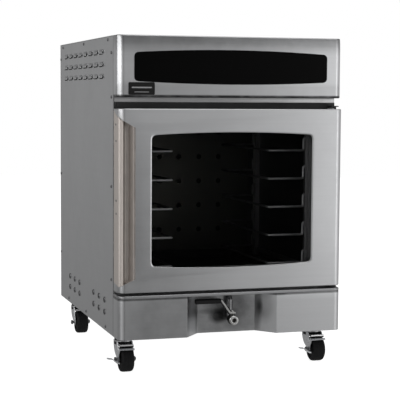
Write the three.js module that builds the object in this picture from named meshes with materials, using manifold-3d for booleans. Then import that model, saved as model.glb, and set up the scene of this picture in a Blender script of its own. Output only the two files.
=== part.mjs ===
// Food holding cabinet: a stainless steel, half-height heated cabinet on four casters, with one glazed door.
// Millimetres. x runs to the right seen from the front, y to the back, z up.
// The origin is on the floor, in the middle of the cabinet's length and width.
import * as THREE from 'three';
import { mergeVertices } from 'three/addons/utils/BufferGeometryUtils.js';
import Module from 'manifold-3d';

const wasm = await Module();
wasm.setup();

// ---------------------------------------------------------------- driving dimensions
const WIDTH = 698;
const DEPTH = 910;
const HEIGHT = 1000;
const BODY_BOTTOM = 111;
const SHEET = 1.5;
const GAP = 0.3;

const HALF = WIDTH / 2;
const INNER_HALF = HALF - SHEET;
const LEDGE_FRONT = -DEPTH / 2;
const BASE_FRONT = LEDGE_FRONT + 2;
const DOOR_FRONT = LEDGE_FRONT + 3;
const HEADER_FRONT = LEDGE_FRONT + 16;
const SEAM = -383;
const COVER_BACK = DEPTH / 2;
const BODY_BACK = COVER_BACK - 18;
const CORNER = 20;

const BASE_TOP = 231.7;
const LEDGE = { bottom: 232, top: 241 };
const DOOR = { bottom: 249, top: 787, back: -390 };
const HEADER_BOTTOM = 820;
const TOP_LIP = 997.5;

const FRAME = { front: -386, back: -384, bottom: 242, top: 819.7 };
const CAVITY = { half: 289.5, bottom: 270, top: 766, back: 330 };
const BAFFLE = 255;

const DOOR_WINDOW = { half: 250, bottomMid: 317, bottomEnd: 325, topMid: 718, topEnd: 711, corner: 16 };
const HEADER_WINDOW = { half: 300, bottomMid: 858.5, bottomEnd: 869, topMid: 960, topEnd: 948, corner: 14 };
const GRIP = {
  lipX: -299,
  top: { lip: 731, perX: -0.548, perY: 0.349 },
  bottom: { lip: 290, perX: 0.43, perY: 0.12 },
};
const HINGE = { x: 339, y: -412, pin: 4 };

const RACK = {
  levels: 5,
  first: 308,
  pitch: 87.7,
  front: -334,
  back: 139,
  inner: 156,
  leg: 268,
  wire: 3,
  rise: 37,
};
const POST = { inner: 273.5, outer: 289.2, depth: 22, bottom: 275, top: 756 };

const FAN = { z: 518, radius: 75, front: 275, back: 315, shaft: 5, blades: 8 };
const VALVE = { x: 6, y: -432, z: 155, bore: 5, front: 20, back: 14, lip: 13.5 };
const PIPE = { radius: 10, bore: 7, tankY: -300, tankZ: 269.7, runZ: 220, dropY: -404 };

const CASTER = { x: 306, front: -328, back: 328, trail: 35, wheelRadius: 38, wheelWidth: 38 };

// ---------------------------------------------------------------- solids and cuts
function solid(geometry) {
  const plain = geometry.clone();
  plain.deleteAttribute('normal');
  plain.deleteAttribute('uv');
  const merged = mergeVertices(plain);
  const vertProperties = new Float32Array(merged.attributes.position.array);
  const triVerts = new Uint32Array(merged.index.array);
  return new wasm.Manifold(new wasm.Mesh({ numProp: 3, vertProperties, triVerts }));
}

function join(first, ...rest) {
  return rest.reduce((whole, piece) => whole.add(piece), first);
}

function cut(whole, ...tools) {
  return tools.reduce((left, tool) => left.subtract(tool), whole);
}

function box(xs, ys, zs) {
  const [x0, x1] = [Math.min(...xs), Math.max(...xs)];
  const geometry = new THREE.BoxGeometry(x1 - x0, ys[1] - ys[0], zs[1] - zs[0]);
  geometry.translate((x0 + x1) / 2, (ys[0] + ys[1]) / 2, (zs[0] + zs[1]) / 2);
  return solid(geometry);
}

// A round bar between two points, closed at both ends.
function rod(from, to, radius, sides = 12) {
  const start = new THREE.Vector3(...from);
  const along = new THREE.Vector3(...to).sub(start);
  const geometry = new THREE.CylinderGeometry(radius, radius, along.length(), sides);
  geometry.translate(0, along.length() / 2, 0);
  const turn = new THREE.Quaternion().setFromUnitVectors(new THREE.Vector3(0, 1, 0), along.normalize());
  geometry.applyQuaternion(turn);
  geometry.translate(...from);
  return solid(geometry);
}

function ball(centre, radius, sides = 12) {
  const geometry = new THREE.SphereGeometry(radius, sides, Math.round(sides / 2));
  geometry.translate(...centre);
  return solid(geometry);
}

function outline(points) {
  return new THREE.Shape(points.map(([a, b]) => new THREE.Vector2(a, b)));
}

function extrude(shape, depth, curveSegments = 6) {
  return new THREE.ExtrudeGeometry(shape, { depth, bevelEnabled: false, curveSegments });
}

// A plan outline (x, y) raised from z0 to z1.
function raised(shape, z0, z1) {
  const geometry = extrude(shape, z1 - z0);
  geometry.translate(0, 0, z0);
  return solid(geometry);
}

// A front-view outline (x, z) running back from y0 to y1.
function backward(shape, y0, y1, curveSegments = 6) {
  const geometry = extrude(shape, y1 - y0, curveSegments);
  geometry.rotateX(Math.PI / 2);
  geometry.translate(0, y1, 0);
  return solid(geometry);
}

// A side-view outline (y, z) running across from x0 to x1.
function across(shape, x0, x1) {
  const geometry = extrude(shape, x1 - x0);
  geometry.applyMatrix4(new THREE.Matrix4().set(0, 0, 1, x0, 1, 0, 0, 0, 0, 1, 0, 0, 0, 0, 0, 1));
  return solid(geometry);
}

// The closed outline of a bent sheet: an open path, and the same path moved sideways by the thickness.
function bentSheet(path, thickness) {
  const points = path.map(([x, y]) => new THREE.Vector2(x, y));
  const moved = points.map((point, i) => {
    const before = points[Math.max(i - 1, 0)];
    const after = points[Math.min(i + 1, points.length - 1)];
    const into = point.clone().sub(i > 0 ? before : point).normalize();
    const out = after.clone().sub(point).normalize();
    const a = i > 0 ? into : out;
    const b = i < points.length - 1 ? out : into;
    const sideA = new THREE.Vector2(-a.y, a.x);
    const sideB = new THREE.Vector2(-b.y, b.x);
    const middle = sideA.clone().add(sideB).normalize();
    return point.clone().addScaledVector(middle, thickness / middle.dot(sideA));
  });
  return new THREE.Shape([...points, ...moved.reverse()]);
}

// Points round part of a circle, both ends included.
function arc(cx, cy, radius, fromDeg, toDeg, steps = 5) {
  return Array.from({ length: steps + 1 }, (_, i) => {
    const angle = THREE.MathUtils.degToRad(fromDeg + ((toDeg - fromDeg) * i) / steps);
    return [cx + radius * Math.cos(angle), cy + radius * Math.sin(angle)];
  });
}

// Plan outline of a front cover: flat front, two rounded upright corners, sides running back.
function coverOutline(front, back, half, radius) {
  return outline([
    [-half, back],
    ...arc(-half + radius, front + radius, radius, 180, 270),
    ...arc(half - radius, front + radius, radius, 270, 360),
    [half, back],
  ]);
}

// Front-view outline with straight sides, rounded corners, and top and bottom edges that bow outwards.
function bowedOutline({ half, bottomMid, bottomEnd, topMid, topEnd, corner }, grow = 0) {
  const h = half + grow;
  const [low, lowMid, high, highMid] = [bottomEnd - grow, bottomMid - grow, topEnd + grow, topMid + grow];
  const shape = new THREE.Shape();
  shape.moveTo(-h + corner, low);
  shape.quadraticCurveTo(0, 2 * lowMid - low, h - corner, low);
  shape.quadraticCurveTo(h, low + 1, h, low + corner);
  shape.lineTo(h, high - corner);
  shape.quadraticCurveTo(h, high - 1, h - corner, high);
  shape.quadraticCurveTo(0, 2 * highMid - high, -h + corner, high);
  shape.quadraticCurveTo(-h, high - 1, -h, high - corner);
  shape.lineTo(-h, low + corner);
  shape.quadraticCurveTo(-h, low + 1, -h + corner, low);
  return shape;
}

function roundedRectangle(x0, x1, z0, z1, radius) {
  return outline([
    ...arc(x1 - radius, z1 - radius, radius, 0, 90, 3),
    ...arc(x0 + radius, z1 - radius, radius, 90, 180, 3),
    ...arc(x0 + radius, z0 + radius, radius, 180, 270, 3),
    ...arc(x1 - radius, z0 + radius, radius, 270, 360, 3),
  ]);
}

// ---------------------------------------------------------------- named meshes
const FINISHES = {
  stainless: { color: 0x9c9da0, roughness: 0.35, metalness: 1 },
  brightSteel: { color: 0xb9babd, roughness: 0.25, metalness: 1 },
  zinc: { color: 0xa7a9aa, roughness: 0.45, metalness: 1 },
  champagne: { color: 0xb5aaa0, roughness: 0.35, metalness: 1 },
  brass: { color: 0xa08a58, roughness: 0.35, metalness: 1 },
  rubber: { color: 0x101011, roughness: 0.8, metalness: 0 },
  plastic: { color: 0x161617, roughness: 0.45, metalness: 0 },
  glass: { color: 0x0a0a0b, roughness: 0.05, metalness: 0 },
  board: { color: 0x1f5a35, roughness: 0.6, metalness: 0 },
  wool: { color: 0xd7c98f, roughness: 0.95, metalness: 0 },
};

const cabinet = new THREE.Group();

function add(name, piece, finish, parent = cabinet) {
  const { vertProperties, triVerts } = piece.getMesh();
  const geometry = new THREE.BufferGeometry();
  geometry.setAttribute('position', new THREE.BufferAttribute(new Float32Array(vertProperties), 3));
  geometry.setIndex(new THREE.BufferAttribute(new Uint32Array(triVerts), 1));
  geometry.computeVertexNormals();
  const mesh = new THREE.Mesh(geometry, new THREE.MeshStandardMaterial(FINISHES[finish]));
  mesh.name = name;
  parent.add(mesh);
  return mesh;
}

// ---------------------------------------------------------------- outer panels
const LOUVER = { length: 60, height: 14, stand: 5.5, slit: 2.5, pitchY: 78.6, firstY: -219, columns: 8 };
const LOUVER_ROWS = [957.5, 920, 884];
const VENT = { radius: 7, pitchY: 78.6, starts: [-266, 110], columns: 3, rows: [204, 167] };
const FLANGE = 14;

// One louver is a hood pressed outwards, closed at both ends and open along its lower edge.
function louver(side, y, z) {
  const top = z + LOUVER.height / 2;
  const bottom = z - LOUVER.height / 2;
  const reach = HALF + LOUVER.stand;
  const [y0, y1] = [y - LOUVER.length / 2, y + LOUVER.length / 2];
  const hood = outline([[side * (HALF - 1), top], [side * reach, bottom], [side * (HALF - 1), bottom]]);
  const throat = outline([
    [side * (HALF - 3), top - 4],
    [side * (HALF - 0.5), top - 4],
    [side * (reach - SHEET), bottom - LOUVER.slit],
    [side * (HALF - 3), bottom - LOUVER.slit],
  ]);
  return { hood: backward(hood, y0, y1), throat: backward(throat, y0 + SHEET, y1 - SHEET) };
}

function sidePanel(side) {
  const top = TOP_LIP - GAP;
  let panel = box([side * INNER_HALF, side * HALF], [SEAM + 0.5, BODY_BACK], [BODY_BOTTOM, top]);
  const flangeZ = [BODY_BOTTOM + 12, top - 20];
  const flangeX = [side * (HALF - FLANGE), side * (HALF - 0.5)];
  panel = panel.add(box(flangeX, [SEAM + 0.5, SEAM + 0.5 + SHEET], flangeZ));
  panel = panel.add(box(flangeX, [BODY_BACK - SHEET, BODY_BACK], flangeZ));
  for (const z of LOUVER_ROWS) {
    for (let i = 0; i < LOUVER.columns; i += 1) {
      const { hood, throat } = louver(side, LOUVER.firstY + i * LOUVER.pitchY, z);
      panel = cut(panel.add(hood), throat);
    }
  }
  for (const start of VENT.starts) {
    for (const z of VENT.rows) {
      for (let i = 0; i < VENT.columns; i += 1) {
        const y = start + i * VENT.pitchY;
        panel = panel.subtract(rod([side * (HALF - 4), y, z], [side * (HALF + 4), y, z], VENT.radius, 8));
      }
    }
  }
  return panel;
}

add('side_panel_left', sidePanel(-1), 'stainless');
add('side_panel_right', sidePanel(1), 'stainless');

// The top is a sheet that laps over the side panels, with flanges that drop inside them.
function topPanel() {
  const [y0, y1] = [SEAM + GAP, BODY_BACK];
  const sheet = box([-HALF, HALF], [y0, y1], [TOP_LIP, HEIGHT]);
  const inside = INNER_HALF - FLANGE - 2;
  const [ring0, ring1] = [y0 + 4, y1 - 8];
  const ring = box([-inside, inside], [ring0, ring1], [TOP_LIP - FLANGE, TOP_LIP + 1]);
  const hollow = box(
    [-inside + SHEET, inside - SHEET],
    [ring0 + SHEET, ring1 - SHEET],
    [TOP_LIP - FLANGE - 1, TOP_LIP]
  );
  return join(sheet, cut(ring, hollow));
}
add('top_panel', topPanel(), 'stainless');

const REAR_PANEL = { front: BODY_BACK - 4, back: BODY_BACK - 2, bottom: 118 };
const COVER = { half: 340, bottom: 235, top: 784 };
const REAR_SLOT = { width: 90, height: 6, pitch: 18, rows: 5, x: [-200, 0, 200], z: 300 };
const GLAND = { x: -250, z: 180, flange: 15, nose: 11, thread: 10, bore: 5, hole: 11 };

function rearPanel() {
  const half = INNER_HALF - 1;
  const { front, back, bottom } = REAR_PANEL;
  const sheet = box([-half, half], [front, back], [bottom, TOP_LIP - 2]);
  return cut(sheet, rod([GLAND.x, front - 2, GLAND.z], [GLAND.x, BODY_BACK, GLAND.z], GLAND.hole, 16));
}
add('rear_panel', rearPanel(), 'stainless');

// The service cover is a shallow tray screwed over the back, with air slots near its foot.
function rearCover() {
  const front = BODY_BACK + GAP;
  let tray = box([-COVER.half, COVER.half], [front, COVER_BACK], [COVER.bottom, COVER.top]);
  const inner = COVER.half - SHEET;
  tray = tray.subtract(
    box([-inner, inner], [front - 1, COVER_BACK - SHEET], [COVER.bottom + SHEET, COVER.top - SHEET])
  );
  for (const x of REAR_SLOT.x) {
    for (let i = 0; i < REAR_SLOT.rows; i += 1) {
      const z = REAR_SLOT.z + i * REAR_SLOT.pitch;
      const xs = [x - REAR_SLOT.width / 2, x + REAR_SLOT.width / 2];
      tray = tray.subtract(box(xs, [COVER_BACK - 4, COVER_BACK + 1], [z, z + REAR_SLOT.height]));
    }
  }
  return tray;
}
add('rear_cover', rearCover(), 'stainless');

function cordGland() {
  const at = (y) => [GLAND.x, y, GLAND.z];
  const flange = rod(at(BODY_BACK - 2 + GAP), at(BODY_BACK + 4), GLAND.flange, 6);
  const nose = rod(at(BODY_BACK + 3), at(BODY_BACK + 15), GLAND.nose, 16);
  const thread = rod(at(BODY_BACK - 16), at(BODY_BACK), GLAND.thread, 16);
  const hole = rod(at(BODY_BACK - 17), at(BODY_BACK + 16), GLAND.bore, 12);
  return cut(join(flange, nose, thread), hole);
}
add('cord_gland', cordGland(), 'plastic');

// ---------------------------------------------------------------- front: frame, header, base
function frontFrame() {
  const plate = box([-INNER_HALF, INNER_HALF], [FRAME.front, FRAME.back], [FRAME.bottom, FRAME.top]);
  const mouth = box(
    [-CAVITY.half, CAVITY.half],
    [FRAME.front - 1, FRAME.back + 1],
    [CAVITY.bottom, CAVITY.top]
  );
  return cut(plate, mouth);
}
add('front_frame', frontFrame(), 'stainless');

const CONTROL_CUTOUT = { half: 120, bottom: 882, top: 936 };

function headerShell() {
  const outer = raised(coverOutline(HEADER_FRONT, SEAM, HALF, CORNER), HEADER_BOTTOM, HEIGHT);
  const hollow = coverOutline(HEADER_FRONT + SHEET, SEAM + 10, INNER_HALF, CORNER - SHEET);
  const inner = raised(hollow, HEADER_BOTTOM + SHEET, HEIGHT - SHEET);
  const { half, bottom, top } = CONTROL_CUTOUT;
  return cut(outer, inner, box([-half, half], [HEADER_FRONT - 1, HEADER_FRONT + 3], [bottom, top]));
}
add('header_shell', headerShell(), 'stainless');

const OVERLAY = { back: HEADER_FRONT - GAP, front: HEADER_FRONT - 1.5 };
add('header_window', backward(bowedOutline(HEADER_WINDOW), OVERLAY.front, OVERLAY.back, 10), 'glass');

const BADGE = { x0: -317.5, x1: -238.5, z0: 827, z1: 863.5, radius: 4 };
const badge = roundedRectangle(BADGE.x0, BADGE.x1, BADGE.z0, BADGE.z1, BADGE.radius);
add('badge_plate', backward(badge, OVERLAY.front, OVERLAY.back), 'plastic');

function controlBoard() {
  const face = HEADER_FRONT + SHEET;
  const plate = box([-130, 130], [face + 10, face + 12], [868, 950]);
  const display = box([-60, 60], [face + 0.5, face + 11], [892, 926]);
  const relays = [-100, -60, 60, 100].map((x) => box([x - 14, x + 14], [face + 11, face + 32], [880, 905]));
  const transformer = box([-28, 28], [face + 11, face + 46], [885, 935]);
  return join(plate, display, transformer, ...relays);
}
add('control_board', controlBoard(), 'board');

// The base front has a recess with slanted cheeks in its middle, where the drain valve sits.
const RECESS = { outer: 141, inner: 91, back: -393 };

function baseFrontPanel() {
  const path = [
    [-HALF, SEAM],
    ...arc(-HALF + CORNER, BASE_FRONT + CORNER, CORNER, 180, 270),
    [-RECESS.outer, BASE_FRONT],
    [-RECESS.inner, RECESS.back],
    [RECESS.inner, RECESS.back],
    [RECESS.outer, BASE_FRONT],
    ...arc(HALF - CORNER, BASE_FRONT + CORNER, CORNER, 270, 360),
    [HALF, SEAM],
  ];
  const wall = raised(bentSheet(path, SHEET), BODY_BOTTOM, BASE_TOP);
  const at = (y) => [VALVE.x, y, PIPE.runZ];
  return cut(wall, rod(at(RECESS.back - 5), at(RECESS.back + 5), PIPE.radius + 0.5, 12));
}
add('base_front_panel', baseFrontPanel(), 'stainless');

function baseLedge() {
  const back = FRAME.front - GAP;
  const radius = CORNER + 2;
  const outer = coverOutline(LEDGE_FRONT, back, HALF, radius);
  const inner = coverOutline(LEDGE_FRONT + SHEET, back - SHEET, INNER_HALF, radius - SHEET);
  return cut(raised(outer, LEDGE.bottom, LEDGE.top), raised(inner, LEDGE.bottom - 1, LEDGE.top - SHEET));
}
add('base_ledge', baseLedge(), 'stainless');

// The floor pan closes the body from below and carries the casters.
function basePan() {
  const edge = INNER_HALF - GAP;
  const front = BASE_FRONT + SHEET + 1;
  const shape = outline([
    [-edge, BODY_BACK - 5],
    [-edge, front + CORNER],
    [-edge + CORNER, front],
    [-RECESS.outer - 3, front],
    [-RECESS.inner - 3, RECESS.back + 3],
    [RECESS.inner + 3, RECESS.back + 3],
    [RECESS.outer + 3, front],
    [edge - CORNER, front],
    [edge, front + CORNER],
    [edge, BODY_BACK - 5],
  ]);
  return raised(shape, BODY_BOTTOM + 1.5, BODY_BOTTOM + 4);
}
add('base_pan', basePan(), 'zinc');

// ---------------------------------------------------------------- heated cavity
function cavityLiner() {
  const { half, bottom, top, back } = CAVITY;
  const wall = SHEET;
  const front = FRAME.back + GAP;
  const outer = box([-half - wall, half + wall], [front, back + wall], [bottom - wall, top + wall]);
  const hollow = box([-half, half], [front - 1, back], [bottom, top]);
  const shaftHole = rod([0, back - 2, FAN.z], [0, back + 4, FAN.z], FAN.shaft + 3, 12);
  const drainAt = (z) => [VALVE.x, PIPE.tankY, z];
  const drainHole = rod(drainAt(bottom - 4), drainAt(bottom + 2), PIPE.radius + 0.5, 12);
  return cut(outer, hollow, shaftHole, drainHole);
}
add('cavity_liner', cavityLiner(), 'stainless');

// The air baffle stands in front of the fan and spreads the warm air through a grid of round holes.
const AIR_HOLE = { radius: 9, pitchX: 72, columns: 6, pitchZ: 85, rows: 5 };

function rearBaffle() {
  const half = CAVITY.half - GAP;
  let sheet = box([-half, half], [BAFFLE, BAFFLE + SHEET], [CAVITY.bottom + GAP, CAVITY.top - GAP]);
  for (let i = 0; i < AIR_HOLE.columns; i += 1) {
    for (let j = 0; j < AIR_HOLE.rows; j += 1) {
      const x = (i - (AIR_HOLE.columns - 1) / 2) * AIR_HOLE.pitchX;
      const z = FAN.z + 9 + (j - (AIR_HOLE.rows - 1) / 2) * AIR_HOLE.pitchZ;
      sheet = sheet.subtract(rod([x, BAFFLE - 2, z], [x, BAFFLE + 4, z], AIR_HOLE.radius, 8));
    }
  }
  return sheet;
}
add('rear_baffle', rearBaffle(), 'stainless');

function rackFrame(side) {
  const xs = [side * POST.inner, side * POST.outer];
  const railX = [side * (POST.inner + 6), side * POST.outer];
  const post = (y) => box(xs, [y - POST.depth / 2, y + POST.depth / 2], [POST.bottom, POST.top]);
  const rail = (z) => box(railX, [RACK.front, RACK.back], [z, z + 12]);
  return join(post(RACK.front), post(RACK.back), rail(POST.bottom + 14), rail(POST.top - 26));
}

// A pan support is one bent wire: two legs that hang on the posts, and a long bar that carries a pan.
function rackSupport(side, z) {
  const { wire, rise, inner } = RACK;
  const [hook, foot, end] = [POST.inner - GAP, RACK.leg, inner - wire].map((x) => side * x);
  const leg = (y) => [
    rod([hook, y, z + rise], [side * (RACK.leg - wire), y, z + rise], wire, 6),
    rod([foot, y, z + rise + 1], [foot, y, z], wire, 6),
    rod([side * (RACK.leg + wire), y, z], [end, y, z], wire, 6),
  ];
  const bar = rod([side * inner, RACK.front - 1, z], [side * inner, RACK.back + 1, z], wire, 6);
  return join(bar, ...leg(RACK.front), ...leg(RACK.back));
}

for (const [word, side] of [['left', -1], ['right', 1]]) {
  add(`rack_frame_${word}`, rackFrame(side), 'stainless');
  for (let i = 0; i < RACK.levels; i += 1) {
    add(`rack_support_${word}_${i + 1}`, rackSupport(side, RACK.first + i * RACK.pitch), 'brightSteel');
  }
}

const PAN = { half: 200, front: -330, back: 150, bottom: CAVITY.bottom + GAP, top: 298 };

function waterPan() {
  const { half, front, back, bottom, top } = PAN;
  const outer = box([-half, half], [front, back], [bottom, top]);
  const inner = half - SHEET;
  const hollow = box([-inner, inner], [front + SHEET, back - SHEET], [bottom + SHEET, top + 1]);
  const drain = rod([VALVE.x, PIPE.tankY, bottom - 1], [VALVE.x, PIPE.tankY, bottom + 4], PIPE.bore, 12);
  return cut(outer, hollow, drain);
}
add('water_pan', waterPan(), 'stainless');

// The water heater is a flat element under the cavity's floor, below the pan.
const HEATER = { half: 160, front: -240, back: 100, thick: 8 - GAP };

function waterHeater() {
  const top = CAVITY.bottom - SHEET - GAP;
  return box([-HEATER.half, HEATER.half], [HEATER.front, HEATER.back], [top - HEATER.thick, top]);
}
add('water_heater', waterHeater(), 'zinc');

// The air heater is one ring of tube round the fan wheel, with its two cold ends running to the back.
function airHeater() {
  const ring = new THREE.TorusGeometry(FAN.radius + 22, 4, 6, 20);
  ring.rotateX(Math.PI / 2);
  ring.translate(0, 296, FAN.z);
  const ends = [-12, 12].map((x) => {
    const z = FAN.z + FAN.radius + 21;
    return rod([x, 296, z], [x, CAVITY.back - GAP, z], 3.5, 8);
  });
  return join(solid(ring), ...ends);
}
add('air_heater', airHeater(), 'zinc');

function fanMotor() {
  const at = (y) => [0, y, FAN.z];
  const start = CAVITY.back + SHEET + GAP;
  const body = join(rod(at(start), at(start + 4), 60, 20), rod(at(start + 3), at(start + 74), 42, 20));
  return cut(body, rod(at(start - 1), at(start + 26), FAN.shaft + 0.6, 12));
}
add('fan_motor', fanMotor(), 'zinc');

function fanWheel() {
  const at = (y) => [0, y, FAN.z];
  const hub = rod(at(FAN.front), at(FAN.back), 16, 16);
  const plate = rod(at(FAN.back - 2), at(FAN.back), FAN.radius, 24);
  const shaft = rod(at(FAN.back - 5), at(CAVITY.back + 22), FAN.shaft, 12);
  const blades = Array.from({ length: FAN.blades }, (_, i) => {
    const blade = new THREE.BoxGeometry(FAN.radius - 22, FAN.back - FAN.front - 1, 2);
    blade.translate((FAN.radius + 16) / 2, (FAN.front + FAN.back - 1) / 2, 0);
    blade.rotateY((i / FAN.blades) * 2 * Math.PI);
    blade.translate(0, 0, FAN.z);
    return solid(blade);
  });
  return join(hub, plate, shaft, ...blades);
}
add('fan_wheel', fanWheel(), 'stainless');

// Mineral wool wraps the sides and the top of the cavity.
function insulation() {
  const inner = CAVITY.half + SHEET + 1;
  const outer = INNER_HALF - 2;
  const wrap = box([-outer, outer], [SEAM + 6, CAVITY.back], [262, 812]);
  return cut(wrap, box([-inner, inner], [SEAM, CAVITY.back + 5], [261, CAVITY.top + SHEET + 1]));
}
add('insulation_wrap', insulation(), 'wool');

// ---------------------------------------------------------------- drain
// The drain pipe drops from the pan, runs forward through the recess wall and drops again to the valve.
function pipeRun(points, radius, sides) {
  const runs = points.slice(1).map((point, i) => rod(points[i], point, radius, sides));
  const bends = points.slice(1, -1).map((point) => ball(point, radius * 1.04, sides));
  return join(...runs, ...bends);
}

function drainPipe() {
  const { x, z } = VALVE;
  const middle = [
    [x, PIPE.tankY, PIPE.runZ],
    [x, PIPE.dropY, PIPE.runZ],
    [x, PIPE.dropY, z],
  ];
  const end = VALVE.y + VALVE.back + GAP;
  const outer = pipeRun([[x, PIPE.tankY, PIPE.tankZ], ...middle, [x, end, z]], PIPE.radius, 10);
  const inner = pipeRun([[x, PIPE.tankY, PIPE.tankZ + 2], ...middle, [x, end - 2, z]], PIPE.bore, 6);
  return cut(outer, inner);
}
add('drain_pipe', drainPipe(), 'brightSteel');

function valveBody() {
  const { x, y, z, bore, front, back } = VALVE;
  const at = (dy) => [x, y + dy, z];
  const barrel = join(rod(at(-front), at(back), 11.5, 16), rod(at(-12), at(10), 15, 6));
  const rim = rod(at(-front), at(-front + 5), VALVE.lip, 16);
  const boss = rod([x, y, z], [x, y, z + 18], 7, 12);
  const inlet = rod(at(7), at(back + 1), bore, 10);
  const outlet = rod(at(-front - 1), at(-8), bore, 10);
  return cut(join(barrel, rim, boss), inlet, outlet);
}
add('drain_valve_body', valveBody(), 'brass');

// The lever is a steel strap: flat on the stem, slanting up, then level inside the vinyl grip.
const LEVER = {
  eye: VALVE.z + 18 + GAP,
  gripStart: -30,
  gripEnd: -111,
  gripZ: 213,
  gripHalf: { y: 8.5, z: 7.5 },
  width: 12,
  thick: 5,
};

function drainLever() {
  const { x, y } = VALVE;
  const path = [
    [x + 9, LEVER.eye],
    [x - 6, LEVER.eye],
    [LEVER.gripStart + 2, LEVER.gripZ - 1],
    [LEVER.gripEnd + 10, LEVER.gripZ - 1],
  ];
  const strap = backward(bentSheet(path, -LEVER.thick), y - LEVER.width / 2, y + LEVER.width / 2);
  const nut = rod([x, y, LEVER.eye + 1], [x, y, LEVER.eye + 8], 6, 6);
  return join(strap, nut);
}
const lever = drainLever();
add('drain_lever', lever, 'zinc');

function leverGrip() {
  const { y } = VALVE;
  const { gripHalf, gripZ } = LEVER;
  const sleeve = roundedRectangle(y - gripHalf.y, y + gripHalf.y, gripZ - gripHalf.z, gripZ + gripHalf.z, 5);
  const body = across(sleeve, LEVER.gripEnd, LEVER.gripStart);
  const slot = box(
    [LEVER.gripEnd + 8, LEVER.gripStart + 1],
    [y - LEVER.width / 2 - GAP, y + LEVER.width / 2 + GAP],
    [LEVER.gripZ - 1 - GAP, LEVER.gripZ - 1 + LEVER.thick + GAP]
  );
  return cut(body, slot);
}
add('drain_lever_grip', cut(leverGrip(), lever), 'rubber');

// ---------------------------------------------------------------- door
// Height of the grip's sloping end above a plan point.
function gripEnd({ lip, perX, perY }, x, y) {
  return lip + perX * (x - GRIP.lipX) + perY * (y - DOOR_FRONT);
}

// The block between the grip's two sloping ends, grown by a clearance at each end.
function gripBlock(x0, x1, grow) {
  const [y0, y1] = [DOOR_FRONT - 1, DOOR.back + 1];
  const corners = [];
  for (const x of [x0, x1]) {
    for (const y of [y0, y1]) {
      corners.push([x, y, gripEnd(GRIP.bottom, x, y) - grow]);
      corners.push([x, y, gripEnd(GRIP.top, x, y) + grow]);
    }
  }
  return wasm.Manifold.hull(corners);
}

const DOOR_GLASS = { half: 262, bottom: 303, top: 732 };

function doorSkin() {
  const outer = raised(coverOutline(DOOR_FRONT, DOOR.back, HALF, CORNER), DOOR.bottom, DOOR.top);
  const hollow = coverOutline(DOOR_FRONT + SHEET, DOOR.back + 10, INNER_HALF, CORNER - SHEET);
  const inner = raised(hollow, DOOR.bottom + SHEET, DOOR.top - SHEET);
  const window = backward(bowedOutline(DOOR_WINDOW), DOOR_FRONT - 1, DOOR_FRONT + 4);
  const gripCut = gripBlock(-HALF - 1, GRIP.lipX + GAP, GAP);
  const pinAt = (z) => [HINGE.x, HINGE.y, z];
  const pins = rod(pinAt(DOOR.bottom - 5), pinAt(DOOR.top + 5), HINGE.pin + 0.5, 12);
  return cut(outer, inner, window, gripCut, pins);
}
add('door_skin', doorSkin(), 'stainless');

// The inner panel is a tray with a well that carries both panes.
function doorInnerPanel() {
  const face = DOOR.back - SHEET;
  const { half, bottom, top } = DOOR_GLASS;
  const tray = cut(
    box([-345, 345], [-406, DOOR.back], [253, 783]),
    box([-345 + SHEET, 345 - SHEET], [-407, face], [253 + SHEET, 783 - SHEET])
  );
  const well = box([-half - SHEET, half + SHEET], [-445.9, face + 0.5], [bottom - SHEET, top + SHEET]);
  const wellInside = box([-half, half], [-447, face], [bottom, top]);
  const opening = box([-half + 10, half - 10], [face - 2, DOOR.back + 1], [bottom + 10, top - 10]);
  return cut(join(tray, well), wellInside, opening);
}
add('door_inner_panel', doorInnerPanel(), 'stainless');

function pane(front, inset) {
  const { half, bottom, top } = DOOR_GLASS;
  return box([-half + inset, half - inset], [front, front + 4], [bottom + inset, top - inset]);
}
add('door_glass_outer', pane(DOOR_FRONT + SHEET + GAP, 0), 'glass');
add('door_glass_inner', pane(DOOR.back - SHEET - GAP - 4, GAP), 'glass');

// The seal fills the space behind the door's rim and rises as a lip above the door's top edge.
const GASKET = { half: 340, bottom: 253, top: 806, inset: 299 };

function doorGasket() {
  const ys = [DOOR.back + GAP, FRAME.front - GAP];
  const { half, bottom, top, inset } = GASKET;
  const outer = box([-half, half], ys, [bottom, top]);
  const across = [ys[0] - 1, ys[1] + 1];
  const mouth = box([-inset, inset], across, [bottom + 11, CAVITY.top + 6]);
  const hinge = box([HINGE.x - 14 - 1, half + 1], across, [DOOR.top - 1, top + 1]);
  return cut(outer, mouth, hinge);
}
add('door_gasket', doorGasket(), 'rubber');

// The grip is a formed strip along the door's free edge: a side flange, a round bead at the corner,
// a finger groove behind the bead, and a lip that meets the door's face.
const GRIP_SHEET = 2;

function doorHandle() {
  const bead = 8;
  const path = [
    [-HALF, DOOR.back],
    ...arc(-HALF + bead, DOOR_FRONT + bead, bead, 180, 350, 7),
    ...arc(-HALF + 27, DOOR_FRONT + 10, 11, 170, 45, 5),
    [GRIP.lipX - 6, DOOR_FRONT],
    [GRIP.lipX, DOOR_FRONT],
  ];
  const strip = raised(bentSheet(path, GRIP_SHEET), DOOR.bottom, DOOR.top);
  return strip.intersect(gripBlock(-HALF - 1, GRIP.lipX + 1, 0));
}
add('door_handle', doorHandle(), 'champagne');

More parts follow.
